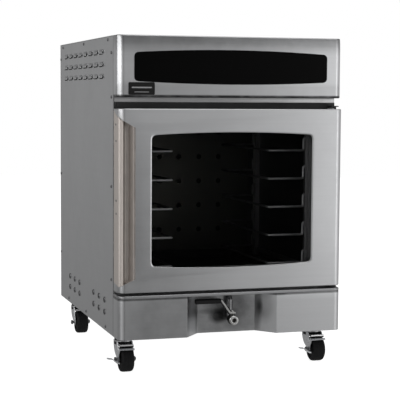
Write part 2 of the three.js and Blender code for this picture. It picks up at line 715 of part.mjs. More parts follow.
// Each hinge bracket is a plate on the front frame with a pin that enters the door's end.
function hingeBracket(plateZ, pinZ, tabZ) {
  const plate = box([HINGE.x - 14, HALF - 2], [HINGE.y - 10, FRAME.front - GAP], plateZ);
  const tab = box([HINGE.x - 14, HALF - 2], [FRAME.front - GAP - 2.5, FRAME.front - GAP], tabZ);
  const pin = rod([HINGE.x, HINGE.y, pinZ[0]], [HINGE.x, HINGE.y, pinZ[1]], HINGE.pin, 12);
  return join(plate, tab, pin);
}
const lowPlate = LEDGE.top + GAP;
const lowPin = [lowPlate + 1, DOOR.bottom + 14];
const highPlate = DOOR.top + 7;
add('hinge_bracket_lower', hingeBracket([lowPlate, lowPlate + 3], lowPin, [lowPlate, 248]), 'plastic');
const highPin = [DOOR.top - 13, highPlate + 2];
add('hinge_bracket_upper', hingeBracket([highPlate, highPlate + 3], highPin, [789, 806]), 'plastic');

// ---------------------------------------------------------------- casters
// Every caster is drawn with its swivel axis on the z axis, then moved to its corner.
const CROWN = { bottom: 77.5, top: 91.5, radius: 28 };
const PLATE_TOP = BODY_BOTTOM + 1.5 - GAP;
const AXLE = { y: -CASTER.trail, z: CASTER.wheelRadius, radius: 4, left: -36, right: 31.5 };
const NUT = { radius: 7.5, width: 6 };
const LEG = { inner: 21, outer: 24 };
const BRIDGE = { front: -50, back: -15, bottom: 70, top: 82 };

function casterPlate() {
  const plate = box([-31, 31], [-46, 46], [PLATE_TOP - 3, PLATE_TOP]);
  const raceway = rod([0, 0, CROWN.top + GAP], [0, 0, PLATE_TOP - 1], 26, 20);
  return join(plate, raceway);
}

function casterFork() {
  const axleAt = (x) => [x, AXLE.y, AXLE.z];
  const crown = rod([0, 0, CROWN.bottom], [0, 0, CROWN.top], CROWN.radius, 20);
  const side = outline([
    [24, CROWN.top - 2],
    [-26, CROWN.top - 2],
    [-35, 74],
    ...arc(AXLE.y, AXLE.z, 11, 170, 350, 6),
    [20, 66],
  ]);
  const legs = [across(side, -LEG.outer, -LEG.inner), across(side, LEG.inner, LEG.outer)];
  const axle = rod(axleAt(AXLE.left), axleAt(AXLE.right), AXLE.radius, 12);
  // The left nut leaves room for the brake arm; the right one sits against its leg.
  const nutAt = (x) => rod(axleAt(x), axleAt(x + NUT.width), NUT.radius, 6);
  const nuts = [nutAt(AXLE.left + 1), nutAt(LEG.outer - 0.5)];
  const wheelRoom = rod(axleAt(-LEG.inner), axleAt(LEG.inner), CASTER.wheelRadius + 2.5, 24);
  // A bridge joins the legs over the tread, in front of the crown.
  const between = [-LEG.inner - 1, LEG.inner + 1];
  const bridge = box(between, [BRIDGE.front, BRIDGE.back], [BRIDGE.bottom, BRIDGE.top]);
  return join(cut(join(crown, bridge), wheelRoom), ...legs, axle, ...nuts);
}

function casterWheel() {
  const half = CASTER.wheelWidth / 2;
  const r = CASTER.wheelRadius;
  const bore = AXLE.radius + 0.5;
  const profile = [
    [bore, -half - 1],
    [11, -half - 1],
    [13, -half + 3],
    [27, -half],
    [r - 5, -half],
    [r, -half + 7],
    [r, half - 7],
    [r - 5, half],
    [27, half],
    [13, half - 3],
    [11, half + 1],
    [bore, half + 1],
    [bore, -half - 1],
  ];
  const wheel = new THREE.LatheGeometry(profile.map(([a, b]) => new THREE.Vector2(a, b)), 20);
  wheel.rotateZ(Math.PI / 2);
  wheel.translate(0, AXLE.y, AXLE.z);
  return solid(wheel);
}

// The brake turns on the axle: an arm outside the left leg, a bar across the tread, and a foot tab.
const BRAKE = { arm: 2.5, reach: 41, barDeg: 126, width: 10, tab: 34 };

function casterBrake() {
  const armOut = -LEG.outer - GAP;
  const armX = [armOut - BRAKE.arm, armOut];
  const angle = THREE.MathUtils.degToRad(BRAKE.barDeg);
  const tip = [AXLE.y + BRAKE.reach * Math.cos(angle), AXLE.z + BRAKE.reach * Math.sin(angle)];
  const tangent = [-Math.sin(angle), Math.cos(angle)];
  const away = [Math.cos(angle), Math.sin(angle)];
  const at = (t, a) => [tip[0] + t * tangent[0] + a * away[0], tip[1] + t * tangent[1] + a * away[1]];
  const half = BRAKE.width / 2;
  const arm = outline([
    ...arc(AXLE.y, AXLE.z, 12, 60, -140, 8),
    at(half, 0),
    at(half, 3),
    at(-half, 3),
  ]);
  const bar = outline([at(-half, 0.5), at(half, 0.5), at(half, 3), at(-half, 3)]);
  const tab = outline([
    [armX[1], AXLE.z - 9],
    [armX[0] - 6, AXLE.z - 7],
    [armX[0] - 20, AXLE.z + 4],
    [armX[0] - BRAKE.tab, AXLE.z + 6],
    [armX[0] - BRAKE.tab, AXLE.z + 9],
    [armX[0] - 19, AXLE.z + 7.5],
    [armX[0] - 5, AXLE.z - 3.5],
    [armX[1], AXLE.z - 5],
  ]);
  const pieces = [
    across(arm, armX[0], armX[1]),
    across(bar, armX[0], CASTER.wheelWidth / 2 + 2),
    backward(tab, AXLE.y - 26, AXLE.y - 8.5),
  ];
  const hole = rod([-40, AXLE.y, AXLE.z], [-20, AXLE.y, AXLE.z], AXLE.radius + 0.5, 12);
  return cut(join(...pieces), hole);
}

const CORNERS = [
  ['front_left', -CASTER.x, CASTER.front],
  ['front_right', CASTER.x, CASTER.front],
  ['rear_left', -CASTER.x, CASTER.back],
  ['rear_right', CASTER.x, CASTER.back],
];

for (const [word, x, y] of CORNERS) {
  const corner = new THREE.Group();
  corner.position.set(x, y, 0);
  cabinet.add(corner);
  add(`caster_plate_${word}`, casterPlate(), 'zinc', corner);
  add(`caster_fork_${word}`, casterFork(), 'zinc', corner);
  add(`caster_wheel_${word}`, casterWheel(), 'rubber', corner);
  if (word.startsWith('front')) {
    add(`caster_brake_${word}`, casterBrake(), 'zinc', corner);
  }
}

export default cabinet;
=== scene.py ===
import math

import bmesh
import bpy
from mathutils import Matrix, Vector
from mathutils.geometry import tessellate_polygon


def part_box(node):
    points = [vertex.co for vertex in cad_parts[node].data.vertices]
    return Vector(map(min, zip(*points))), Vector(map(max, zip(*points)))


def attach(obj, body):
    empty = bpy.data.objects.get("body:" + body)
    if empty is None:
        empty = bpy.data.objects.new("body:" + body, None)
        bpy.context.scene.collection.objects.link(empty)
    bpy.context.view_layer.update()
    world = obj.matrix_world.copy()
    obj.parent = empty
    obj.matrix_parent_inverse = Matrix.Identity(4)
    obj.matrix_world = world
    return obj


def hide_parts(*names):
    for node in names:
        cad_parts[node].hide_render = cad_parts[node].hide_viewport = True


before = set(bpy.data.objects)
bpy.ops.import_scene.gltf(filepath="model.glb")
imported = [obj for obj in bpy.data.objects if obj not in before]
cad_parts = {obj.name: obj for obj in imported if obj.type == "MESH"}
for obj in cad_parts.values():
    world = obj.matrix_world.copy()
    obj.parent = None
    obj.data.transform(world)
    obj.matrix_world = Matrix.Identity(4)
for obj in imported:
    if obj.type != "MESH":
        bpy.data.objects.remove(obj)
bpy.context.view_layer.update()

# Food holding cabinet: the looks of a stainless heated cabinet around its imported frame.
# Helpers take millimetres in the row frame: x right, y back, z up, origin on the floor.
MM = 0.001


def mm_box(node):
    """Lowest and highest corner of a CAD node, in millimetres."""
    low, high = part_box(node)
    return low / MM, high / MM


# ---- materials
class Nodes:
    """The node tree of a material or a world, with short helpers for the common nodes."""

    def __init__(self, owner):
        owner.use_nodes = True
        self.tree = owner.node_tree
        self.tree.nodes.clear()

    def add(self, kind, sockets=(), **values):
        """A node with these properties; sockets holds (name, value or link) pairs for its inputs."""
        node = self.tree.nodes.new(kind)
        for key, value in values.items():
            setattr(node, key, value)
        for key, value in sockets:
            self.put(node.inputs[key], value)
        return node

    def put(self, socket, value):
        if isinstance(value, bpy.types.NodeSocket):
            self.tree.links.new(value, socket)
        else:
            socket.default_value = value

    def ramp(self, value, low, high, to_low, to_high):
        sockets = (
            ("Value", value), ("From Min", low), ("From Max", high), ("To Min", to_low), ("To Max", to_high),
        )
        return self.add("ShaderNodeMapRange", sockets).outputs[0]

    def math(self, operation, a, b):
        return self.add("ShaderNodeMath", enumerate((a, b)), operation=operation).outputs[0]

    def mix(self, factor, a, b, blend="MIX"):
        sockets = (("Factor", factor), ("A", a), ("B", b))
        return self.add("ShaderNodeMix", sockets, data_type="RGBA", blend_type=blend).outputs["Result"]

    def levels(self, value, stops):
        """Grey levels by a value from 0 to 1; stops are (value, level)."""
        node = self.add("ShaderNodeValToRGB", [("Fac", value)])
        elements = node.color_ramp.elements
        while len(elements) < len(stops):
            elements.new(0.5)
        for element, (position, level) in zip(elements, stops):
            element.position = position
            element.color = grey(level)
        return node.outputs[0]


class Surface(Nodes):
    """A material under construction, its patterns fixed to the object."""

    def __init__(self, name):
        self.material = bpy.data.materials.new(name)
        super().__init__(self.material)
        self.shader = self.add("ShaderNodeBsdfPrincipled")
        self.add("ShaderNodeOutputMaterial", [("Surface", self.shader.outputs[0])])
        self.where = self.add("ShaderNodeTexCoord").outputs["Object"]

    def scaled(self, scale, turn=(0, 0, 0)):
        sockets = (("Vector", self.where), ("Scale", scale), ("Rotation", turn))
        return self.add("ShaderNodeMapping", sockets).outputs[0]

    def noise(self, scale, detail=3.0, rough=0.55, vector=None):
        vector = vector or self.where
        sockets = (("Vector", vector), ("Scale", scale), ("Detail", detail), ("Roughness", rough))
        return self.add("ShaderNodeTexNoise", sockets).outputs["Fac"]

    def patch(self, centre, reach, hard):
        """1 inside an ellipsoid given in millimetres, fading to 0 at its edge."""
        scale = [1 / (r * MM) for r in reach]
        place = [-c / r for c, r in zip(centre, reach)]
        spot = self.add("ShaderNodeMapping", (("Vector", self.where), ("Scale", scale), ("Location", place)))
        length = self.add("ShaderNodeVectorMath", [(0, spot.outputs[0])], operation="LENGTH")
        return self.ramp(length.outputs["Value"], hard, 1.0, 1.0, 0.0)

    def bump(self, height, strength, distance):
        sockets = (("Height", height), ("Strength", strength), ("Distance", distance))
        self.put(self.shader.inputs["Normal"], self.add("ShaderNodeBump", sockets).outputs[0])

    def set(self, **values):
        for key, value in values.items():
            self.put(self.shader.inputs[key.replace("_", " ")], value)


def grey(value):
    return (value, value, value, 1.0)


def tint(rgb, factor):
    return (rgb[0] * factor, rgb[1] * factor, rgb[2] * factor, 1.0)


def brushed(name, rgb, rough, grain=(2, 260, 260), streak=0.05, smudge=0.02, depth=0.05, painted_light=()):
    """Brushed metal: fine grain along one axis, broad streaks, smudged gloss, and patches of painted shade
    and painted highlight.
    """
    n = Surface(name)
    fine = n.noise(9.0, 2.0, 0.6, n.scaled(grain))
    broad = n.noise(1.0, 4.0, 0.6, n.scaled(tuple(g * 0.35 for g in grain)))
    hand = n.noise(5.5, 4.0, 0.62)
    mottled = n.noise(26.0, 3.0, 0.6)
    lines = n.math("ADD", n.math("MULTIPLY", fine, 0.55), n.math("MULTIPLY", broad, 0.45))
    colour = n.mix(n.ramp(lines, 0.3, 0.7, 0, 1), tint(rgb, 1 - streak), tint(rgb, 1 + streak * 0.8))
    colour = n.mix(n.ramp(hand, 0.42, 0.72, 0.0, 0.35), colour, tint(rgb, 0.95))
    # Each patch is painted shade, or a painted highlight where the share left is over 1.
    for centre, reach, left, hard in painted_light:
        edge = n.math("MULTIPLY", n.patch(centre, reach, hard), n.ramp(n.noise(30.0), 0.25, 0.6, 0.75, 1.0))
        colour = n.mix(edge, colour, grey(left), "MULTIPLY")
    worn = n.ramp(lines, 0.3, 0.7, rough - 0.03, rough + 0.03)
    worn = n.math("ADD", worn, n.ramp(hand, 0.4, 0.7, -smudge, smudge))
    worn = n.math("ADD", worn, n.ramp(mottled, 0.4, 0.7, -0.012, 0.02))
    n.set(Base_Color=colour, Metallic=1.0, Roughness=worn)
    n.bump(fine, depth, 0.0001)
    return n.material


def cast(name, rgb, rough, metallic=1.0, mottle=0.12, scale=180.0, depth=0.25, distance=0.0002, specular=0.5):
    """Zinc plate, cast or moulded surfaces: an even speckle with a soft grime in broad patches."""
    n = Surface(name)
    speck = n.noise(scale, 4.0, 0.6)
    patch = n.noise(22.0, 3.0, 0.55)
    colour = n.mix(n.ramp(speck, 0.3, 0.7, 0, 1), tint(rgb, 1 - mottle), tint(rgb, 1 + mottle))
    colour = n.mix(n.ramp(patch, 0.48, 0.75, 0.0, 0.45), colour, tint(rgb, 0.72))
    gloss = n.ramp(speck, 0.3, 0.7, rough - 0.06, rough + 0.07)
    gloss = n.math("ADD", gloss, n.ramp(patch, 0.4, 0.7, -0.04, 0.06))
    n.set(Base_Color=colour, Metallic=metallic, Roughness=gloss, Specular_IOR_Level=specular)
    n.bump(speck, depth, distance)
    return n.material


def black_gloss(name, level, rough, specular):
    """Glossy black overlay or moulding, with faint wipe marks in its gloss."""
    n = Surface(name)
    wipe = n.noise(3.0, 4.0, 0.65, n.scaled((3, 3, 9), (0, 0.5, 0)))
    dust = n.noise(420.0, 2.0, 0.5)
    colour = n.mix(n.ramp(dust, 0.62, 0.75, 0.0, 0.5), grey(level), grey(level * 2.2 + 0.004))
    gloss = n.ramp(wipe, 0.35, 0.7, rough, rough + 0.07)
    n.set(Base_Color=colour, Roughness=gloss, Specular_IOR_Level=specular)
    n.bump(n.noise(14.0, 2.0), 0.02, 0.0004)
    return n.material


def tinted_glass(name, alpha):
    """A dark tinted pane: mostly clear, with a mirror-like face and faint wipe marks."""
    n = Surface(name)
    wipe = n.noise(2.5, 4.0, 0.65, n.scaled((4, 4, 10), (0, 0.6, 0)))
    colour = n.mix(n.ramp(wipe, 0.45, 0.7, 0.0, 1.0), grey(0.0006), grey(0.0014))
    gloss = n.ramp(wipe, 0.35, 0.7, 0.03, 0.08)
    n.set(Base_Color=colour, Roughness=gloss, Alpha=alpha, Specular_IOR_Level=0.02)
    return n.material


def wool(name):
    """Pressed mineral wool: pale fibres in layers."""
    n = Surface(name)
    fibre = n.noise(60.0, 6.0, 0.7, n.scaled((1, 6, 1)))
    colour = n.mix(n.ramp(fibre, 0.3, 0.7, 0, 1), (0.50, 0.42, 0.20, 1), (0.80, 0.72, 0.46, 1))
    n.set(Base_Color=colour, Roughness=0.95)
    n.bump(fibre, 0.9, 0.002)
    return n.material


def circuit(name):
    """A green board with pale square pads."""
    n = Surface(name)
    sockets = (("Vector", n.where), ("Scale", 140.0))
    cells = n.add("ShaderNodeTexVoronoi", sockets, feature="F1", distance="CHEBYCHEV").outputs["Distance"]
    colour = n.mix(n.ramp(cells, 0.2, 0.35, 0, 1), (0.25, 0.23, 0.12, 1), (0.012, 0.10, 0.045, 1))
    n.set(Base_Color=colour, Roughness=0.5)
    n.bump(cells, 0.3, 0.0006)
    return n.material


STEEL = (0.60, 0.605, 0.615)
INNER = (0.48, 0.48, 0.485)
ACROSS, ALONG, UP = (2, 260, 260), (260, 2, 260), (260, 260, 2)
# Painted shade and painted highlights in the steel's colour: centre and reach in millimetres, the share of
# the steel's brightness that is left (over 1 is a painted highlight), and how much of the reach has it in
# full. ALL is past the cabinet.
ALL = 4000
SEAM = -382.5
# Painted shade and painted reflections of the lever in the base recess round the valve, painted shade under
# the ledge, and darker towards the base's left end.
BASE_PAINTED_SHADE = (
    ((-106, -408, 190), (14, 30, 40), 0.78, 0.3),
    ((116, -420, 190), (36, 40, 60), 0.80, 0.5),
    ((-34, -393, 188), (52, 16, 30), 0.62, 0.3),
    ((-26, -393, 160), (34, 16, 26), 0.22, 0.45),
    ((-30, -393, 176), (74, 16, 12), 0.55, 0.3),
    ((104, -404, 188), (14, 16, 28), 0.36, 0.3),
    ((6, -393, 224), (15, 16, 16), 0.35, 0.35),
    ((150, -440, 231), (34, 40, 7), 0.30, 0.35),
    ((-40, -393, 195), (140, 24, 130), 0.48, 0.6),
    ((80, -393, 195), (110, 24, 130), 0.50, 0.6),
    ((0, 0, 231.5), (ALL, ALL, 6), 0.35, 0.55),
    ((-200, -453, 170), (190, 20, 200), 0.66, 0.4),
)
# Painted shade along the header's folded lower edge, over its leaning top and low on its face; a painted
# highlight at its left end.
HEADER_PAINTED_LIGHT = (
    ((0, 0, 820), (ALL, ALL, 9), 0.08, 0.6),
    ((0, -440, 1004), (ALL, 80, 58), 0.68, 0.5),
    ((0, -440, 832), (ALL, 40, 34), 0.85, 0.6),
    ((-345, -440, 905), (90, 60, 110), 1.22, 0.2),
)
# Painted shade in the finger groove and along its edges, painted light and shade across the door, and painted
# shade on the side panels' folds, the wires and the frame's edges.
GRIP_PAINTED_SHADE = (
    ((-312, -448, 510), (26, 30, 900), 0.74, 0.85),
    ((-300, -452, 510), (4, 30, 900), 0.6, 0.7),
    ((-329, -448, 510), (5, 30, 900), 0.62, 0.6),
)
# Painted shade on the door's lower left and upper right, painted highlights on its upper left and lower
# right.
DOOR_PAINTED_LIGHT = (
    ((-330, -452, 300), (360, 60, 440), 0.82, 0.3),
    ((340, -452, 780), (330, 60, 300), 0.93, 0.3),
    ((-240, -452, 780), (190, 60, 130), 1.12, 0.2),
    ((340, -452, 330), (200, 60, 240), 1.07, 0.2),
)
# Painted shade: darker along the side panels' rear fold, and a dark line painted over the bright front edge
# at the seam.
SIDE_PAINTED_SHADE = (
    ((0, 438, 500), (ALL, 20, ALL), 0.62, 0.55),
    ((0, SEAM, 500), (ALL, 5, ALL), 0.25, 0.6),
)
# The wires are painted darker behind their front legs: painted shade inside the cavity.
WIRE_PAINTED_SHADE = (((0, 100, 500), (ALL, 430, ALL), 0.35, 0.94),)
# Painted shade on the frame's left edge and in its top left corner by the door, painted highlights on its
# strip under the header.
FRAME_PAINTED_LIGHT = (
    ((-354, -400, 500), (9, 90, ALL), 0.4, 0.7),
    ((-346, -386, 780), (24, 40, 28), 0.10, 0.88),
    ((340, -386, 812), (340, 20, 7), 1.55, 0.4),
    ((-345, -386, 812), (110, 20, 7), 1.3, 0.4),
)
LOOKS = {
    "front": brushed("brushed_front", STEEL, 0.33, ACROSS, painted_light=DOOR_PAINTED_LIGHT),
    "side": brushed("brushed_side", STEEL, 0.36, ALONG, painted_light=SIDE_PAINTED_SHADE),
    "top": brushed("brushed_top", STEEL, 0.35, ACROSS),
    "back": brushed("brushed_back", STEEL, 0.38, UP),
    "inner": brushed("mill_inner", INNER, 0.42, UP, 0.06, 0.04, 0.05),
    "frame": brushed("frame_steel", (0.46, 0.46, 0.465), 0.42, UP, 0.06, 0.04, 0.05, FRAME_PAINTED_LIGHT),
    "wire": brushed("bright_wire", (0.86, 0.86, 0.88), 0.5, (60, 60, 60), 0.05, 0.04, 0.04, WIRE_PAINTED_SHADE),
    "screw": brushed("screw_steel", (0.17, 0.17, 0.175), 0.4, (90, 90, 90), 0.08, 0.04, 0.05),
    "grip": brushed("handle_metal", (0.72, 0.665, 0.625), 0.62, UP, 0.05, 0.03, 0.05, GRIP_PAINTED_SHADE),
    "base": brushed("brushed_base", STEEL, 0.33, ACROSS, painted_light=BASE_PAINTED_SHADE),
    "header": brushed("brushed_header", STEEL, 0.33, ACROSS, painted_light=HEADER_PAINTED_LIGHT),
    "ledge": brushed("brushed_ledge", (0.40, 0.403, 0.41), 0.40, ACROSS),
    # The baffle, the cavity liner and the water pan are steel painted far darker: painted shade inside the
    # closed cabinet.
    "cavity": brushed("cavity_steel_painted_shade", (0.20, 0.198, 0.18), 0.42, UP, 0.06, 0.04, 0.05),
    "liner": brushed("liner_steel_painted_shade", (0.05, 0.05, 0.051), 0.5, UP, 0.06, 0.04, 0.05),
    # Black on the hinge brackets and the lever's web: painted shade in the gaps above and below the door and
    # along the arm.
    "bracket": cast("black_steel", (0.012, 0.012, 0.013), 0.45, 0.0, 0.2, 300.0, 0.3),
    # Black standing in for the shade in each caster's swivel raceway and under its crown: painted shade.
    "caster_shade": cast("raceway_painted_shade", (0.006, 0.006, 0.0065), 0.6, 0.0, 0.25, 260.0, 0.3, specular=0.2),
    "silver": brushed("badge_print", (0.50, 0.50, 0.51), 0.4, (80, 80, 80), 0.05, 0.02, 0.02),
    "axle": cast("axle_zinc", (0.22, 0.22, 0.225), 0.34, 1.0, 0.14, 160.0, 0.25),
    "zinc": cast("zinc_steel", (0.86, 0.87, 0.89), 0.34),
    # The valve's barrel and hexagon and the drain pipe are painted far darker than their metal: painted shade
    # in the base recess.
    "valve": cast("valve_metal_painted_shade", (0.10, 0.098, 0.094), 0.36, 1.0, 0.18, 120.0, 0.3, 0.0003),
    "arm": cast("lever_steel", (0.62, 0.62, 0.61), 0.28, 1.0, 0.08, 120.0, 0.2),
    "crown": cast("crown_zinc", (0.93, 0.93, 0.94), 0.30),
    "ring": cast("valve_ring", (0.66, 0.66, 0.65), 0.24, 1.0, 0.08, 120.0, 0.2),
    "pipe": cast("pipe_metal_painted_shade", (0.24, 0.24, 0.245), 0.34, 1.0, 0.10, 90.0, 0.2),
    "badge": black_gloss("badge_black", 0.006, 0.16, 0.3),
    "overlay": black_gloss("black_glass", 0.0015, 0.06, 0.05),
    "glass": tinted_glass("door_glass", 0.18),
    "glass_inner": tinted_glass("door_glass_inner", 0.10),
    "gasket": cast("gasket_rubber", (0.020, 0.020, 0.021), 0.62, 0.0, 0.25, 260.0, 0.4),
    "vinyl": cast("grip_vinyl", (0.005, 0.005, 0.0055), 0.5, 0.0, 0.2, 300.0, 0.3, specular=0.2),
    "tyre": cast("caster_rubber", (0.006, 0.006, 0.0065), 0.62, 0.0, 0.25, 220.0, 0.35, specular=0.18),
    "plastic": cast("black_plastic", (0.018, 0.018, 0.019), 0.42, 0.0, 0.2, 400.0, 0.3),
    "board": circuit("circuit_board"),
    "wool": wool("mineral_wool"),
}


# ---- mesh helpers
AXES = {
    "x": lambda c, a, b, h: (c[0] + h, c[1] + a, c[2] + b),
    "y": lambda c, a, b, h: (c[0] + a, c[1] + h, c[2] + b),
    "z": lambda c, a, b, h: (c[0] + a, c[1] + b, c[2] + h),
}
ORIGIN = (0, 0, 0)


def into_scene(name, data):
    piece = bpy.data.objects.new(name, data)
    bpy.context.scene.collection.objects.link(piece)
    return piece


class Shape:
    """Collects faces given by points in millimetres, and turns them into one finished piece."""

    def __init__(self):
        self.bm = bmesh.new()

    def face(self, points):
        self.bm.faces.new([self.bm.verts.new([c * MM for c in p]) for p in points])

    def between(self, first, second, closed=False):
        """Quads between two rows of points of the same length."""
        count = len(first)
        for i in range(count if closed else count - 1):
            j = (i + 1) % count
            self.face([first[i], first[j], second[j], second[i]])

    def rows(self, rows, closed=False):
        for a, b in zip(rows, rows[1:]):
            self.between(a, b, closed)

    def closed_skin(self, rows, closed=True):
        """Rows of points joined into a skin, with its first and last row filled in."""
        self.rows(rows, closed)
        self.face(rows[0])
        self.face(rows[-1])

    def prism(self, outline, axis, centre, low, high):
        """A flat outline round centre, pushed along an axis from low to high."""
        self.closed_skin([[AXES[axis](centre, a, b, h) for a, b in outline] for h in (low, high)])

    def lathe(self, profile, centre, axis, steps=32):
        """A profile of (radius, height) turned about an axis through centre; ends on the axis are closed."""
        rings = []
        for radius, height in profile:
            rings.append([AXES[axis](centre, a, b, height) for a, b in circle(radius, steps)])
        self.rows(rings, closed=True)

    def tube(self, path, radius, sides=10, closed_ends=True):
        """A round bar along a path of points."""
        points = [Vector(p) for p in path]
        normal = None
        rings = []
        for i, point in enumerate(points):
            ahead = points[min(i + 1, len(points) - 1)] - points[max(i - 1, 0)]
            ahead.normalize()
            if normal is None:
                normal = ahead.orthogonal().normalized()
            normal = (normal - ahead * normal.dot(ahead)).normalized()
            other = ahead.cross(normal)
            rings.append([point + normal * a + other * b for a, b in circle(radius, sides)])
        self.rows(rings, closed=True)
        if closed_ends:
            self.face(rings[0][::-1])
            self.face(rings[-1])

    def finish(self, name, body, look, nodes=(), bevel=0.0, sheet=0.0, smooth=35.0, outward=None):
        """Makes the piece: merged, smooth up to an angle, a sheet or a rounded solid, riding on its body."""
        bmesh.ops.remove_doubles(self.bm, verts=self.bm.verts, dist=1e-6)
        bmesh.ops.dissolve_degenerate(self.bm, edges=self.bm.edges, dist=1e-7)
        bmesh.ops.recalc_face_normals(self.bm, faces=self.bm.faces)
        if outward is not None:
            self.face_outward(Vector(outward) * MM)
        mesh = bpy.data.meshes.new(name)
        self.bm.to_mesh(mesh)
        self.bm.free()
        mesh.shade_smooth()
        mesh.set_sharp_from_angle(angle=math.radians(smooth))
        mesh.materials.append(LOOKS[look])
        piece = into_scene(name, mesh)
        if sheet:
            thick = piece.modifiers.new("sheet", "SOLIDIFY")
            thick.thickness = sheet * MM
            thick.offset = -1
            thick.use_even_offset = True
        if bevel:
            add_bevel(piece, bevel)
        else:
            piece.modifiers.new("normals", "WEIGHTED_NORMAL").keep_sharp = True
        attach(piece, body)
        if nodes:
            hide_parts(*nodes)
        return piece

    def front_skin(self, name, body, look, node, inside, sheet=1.5):
        """A bent front sheet in place of a CAD node, its outer face turned away from the point inside."""
        self.finish(name, body, look, [node], sheet=sheet, smooth=30, outward=inside)

    def face_outward(self, inside):
        """Turns all faces so that their normals point away from a point, judged by the largest face."""
        self.bm.faces.ensure_lookup_table()
        largest = max(self.bm.faces, key=lambda f: f.calc_area())
        if largest.normal.dot(largest.calc_center_median() - inside) < 0:
            bmesh.ops.reverse_faces(self.bm, faces=self.bm.faces)


def add_bevel(piece, width):
    soft = piece.modifiers.new("edges", "BEVEL")
    soft.width = width * MM
    soft.segments = 2
    soft.limit_method = "ANGLE"
    soft.angle_limit = math.radians(32)
    soft.use_clamp_overlap = True
    piece.modifiers.new("normals", "WEIGHTED_NORMAL").keep_sharp = True


def circle(radius, steps):
    turns = [2 * math.pi * i / steps for i in range(steps)]
    return [(radius * math.cos(a), radius * math.sin(a)) for a in turns]


def arc(cx, cy, radius, start, end, steps=6):
    """Points round part of a circle, both ends included; angles in degrees."""
    points = []
    for i in range(steps + 1):
        angle = math.radians(start + (end - start) * i / steps)
        points.append((cx + radius * math.cos(angle), cy + radius * math.sin(angle)))
    return points


def round_box(x0, x1, z0, z1, radius, steps=4):
    left, right, low, high = x0 + radius, x1 - radius, z0 + radius, z1 - radius
    points = []
    for i, (x, z) in enumerate(((right, high), (left, high), (left, low), (right, low))):
        points += arc(x, z, radius, 90 * i, 90 * i + 90, steps)
    return points


def bend(points, radius, steps=4):
    """A path whose inner corners are rounded."""
    path = [Vector(points[0])]
    for before, corner, after in zip(points, points[1:], points[2:]):
        c = Vector(corner)
        a = (Vector(before) - c).normalized()
        b = (Vector(after) - c).normalized()
        angle = a.angle(b)
        reach = radius / math.tan(angle / 2)
        start, end = c + a * reach, c + b * reach
        middle = c + (a + b).normalized() * (radius / math.sin(angle / 2))
        for i in range(steps + 1):
            t = i / steps
            spoke = ((start - middle) * (1 - t) + (end - middle) * t).normalized()
            path.append(middle + spoke * radius)
    path.append(Vector(points[-1]))
    return path


def curve2(a, control, b, steps):
    """Points of a quadratic curve from a to b, without its last point."""
    points = []
    for i in range(steps):
        t = i / steps
        weights = (1 - t) ** 2, 2 * t * (1 - t), t * t
        points.append(tuple(sum(w * c for w, c in zip(weights, axis)) for axis in zip(a, control, b)))
    return points


def bowed(half, bottom_mid, bottom_end, top_mid, top_end, corner, grow=0.0):
    """Front outline (x, z): straight sides, rounded corners, and long edges that bow outwards."""
    h = half + grow
    low, low_mid, high, high_mid = bottom_end - grow, bottom_mid - grow, top_end + grow, top_mid + grow
    points = []
    for s, start, middle, end in ((1, low, low_mid, high), (-1, high, high_mid, low)):
        flat, side, rise = s * (h - corner), s * h, s * corner
        points += curve2((-flat, start), (0, 2 * middle - start), (flat, start), 24)
        points += curve2((flat, start), (side, start + s), (side, start + rise), 6)
        points += [(side, start + rise + s * (high - low - 2 * corner) * i / 8) for i in range(8)]
        points += curve2((side, end - rise), (side, end - s), (flat, end), 6)
    return points


def front_plan(front, back, half, radius, steps=8):
    """Plan of a front cover: an open path from its left back edge round the front to its right one."""
    left = arc(-half + radius, front + radius, radius, 180, 270, steps)
    right = arc(half - radius, front + radius, radius, 270, 360, steps)
    return [(-half, back)] + left + right + [(half, back)]


def cover_rows(front, back, half, radius, low, high, soften):
    """Rows of a front cover's skin from low to high, with its two long edges rounded by soften."""
    rows = []
    quarter = [math.radians(a) for a in (0, 22.5, 45, 67.5, 90)]
    for edge, inwards, turns in ((low, soften, quarter), (high, -soften, quarter[::-1])):
        for a in turns:
            inset = soften * (1 - math.sin(a))
            plan = front_plan(front + inset, back, half - inset, radius - inset)
            rows.append([(x, y, edge + inwards * (1 - math.cos(a))) for x, y in plan])
    return rows


# ---- sizes, read from the CAD nodes
header_low, header_high = mm_box("header_shell")
door_low, door_high = mm_box("door_skin")
ledge_low, ledge_high = mm_box("base_ledge")
base_low, base_high = mm_box("base_front_panel")
badge_low, badge_high = mm_box("badge_plate")
baffle_low, baffle_high = mm_box("rear_baffle")
top_high = mm_box("top_panel")[1]
COVER_BACK = mm_box("rear_cover")[1].y
PANEL_BACK = mm_box("rear_panel")[1].y
PAN_BOTTOM = mm_box("base_pan")[0].z
LIP_X = mm_box("door_handle")[1].x
HALF = header_high.x
SHEET = 1.5
RADIUS = 20.0
BODY_BACK = top_high.y
DOOR_FRONT, DOOR_BACK = door_low.y, door_high.y


# ---- side panels with louvers and vents
LOUVER_ROWS = (957.5, 920.0, 884.0)
LOUVER = {
    "length": 60.0, "height": 14.0, "stand": 4.0, "slit": 2.5, "mouth": 0.02,
    "first": -219.0, "pitch": 78.6, "count": 8,
}
VENT_ROWS = (204.0, 167.0)
VENT_COLUMNS = tuple(start + i * LOUVER["pitch"] for start in (-266.0, 110.0) for i in range(3))
VENT_RADIUS = 7.0
VENT_CELL = 11.0
SIDES = (("left", -1), ("right", 1))


def ladder(low, high, marks):
    """Sorted, distinct grid marks between low and high."""
    return sorted({round(m, 3) for m in marks if low < m < high} | {low, high})


def both_sides(centres, reach):
    """The marks at either side of each centre."""
    return [c + d for c in centres for d in (-reach, reach)]


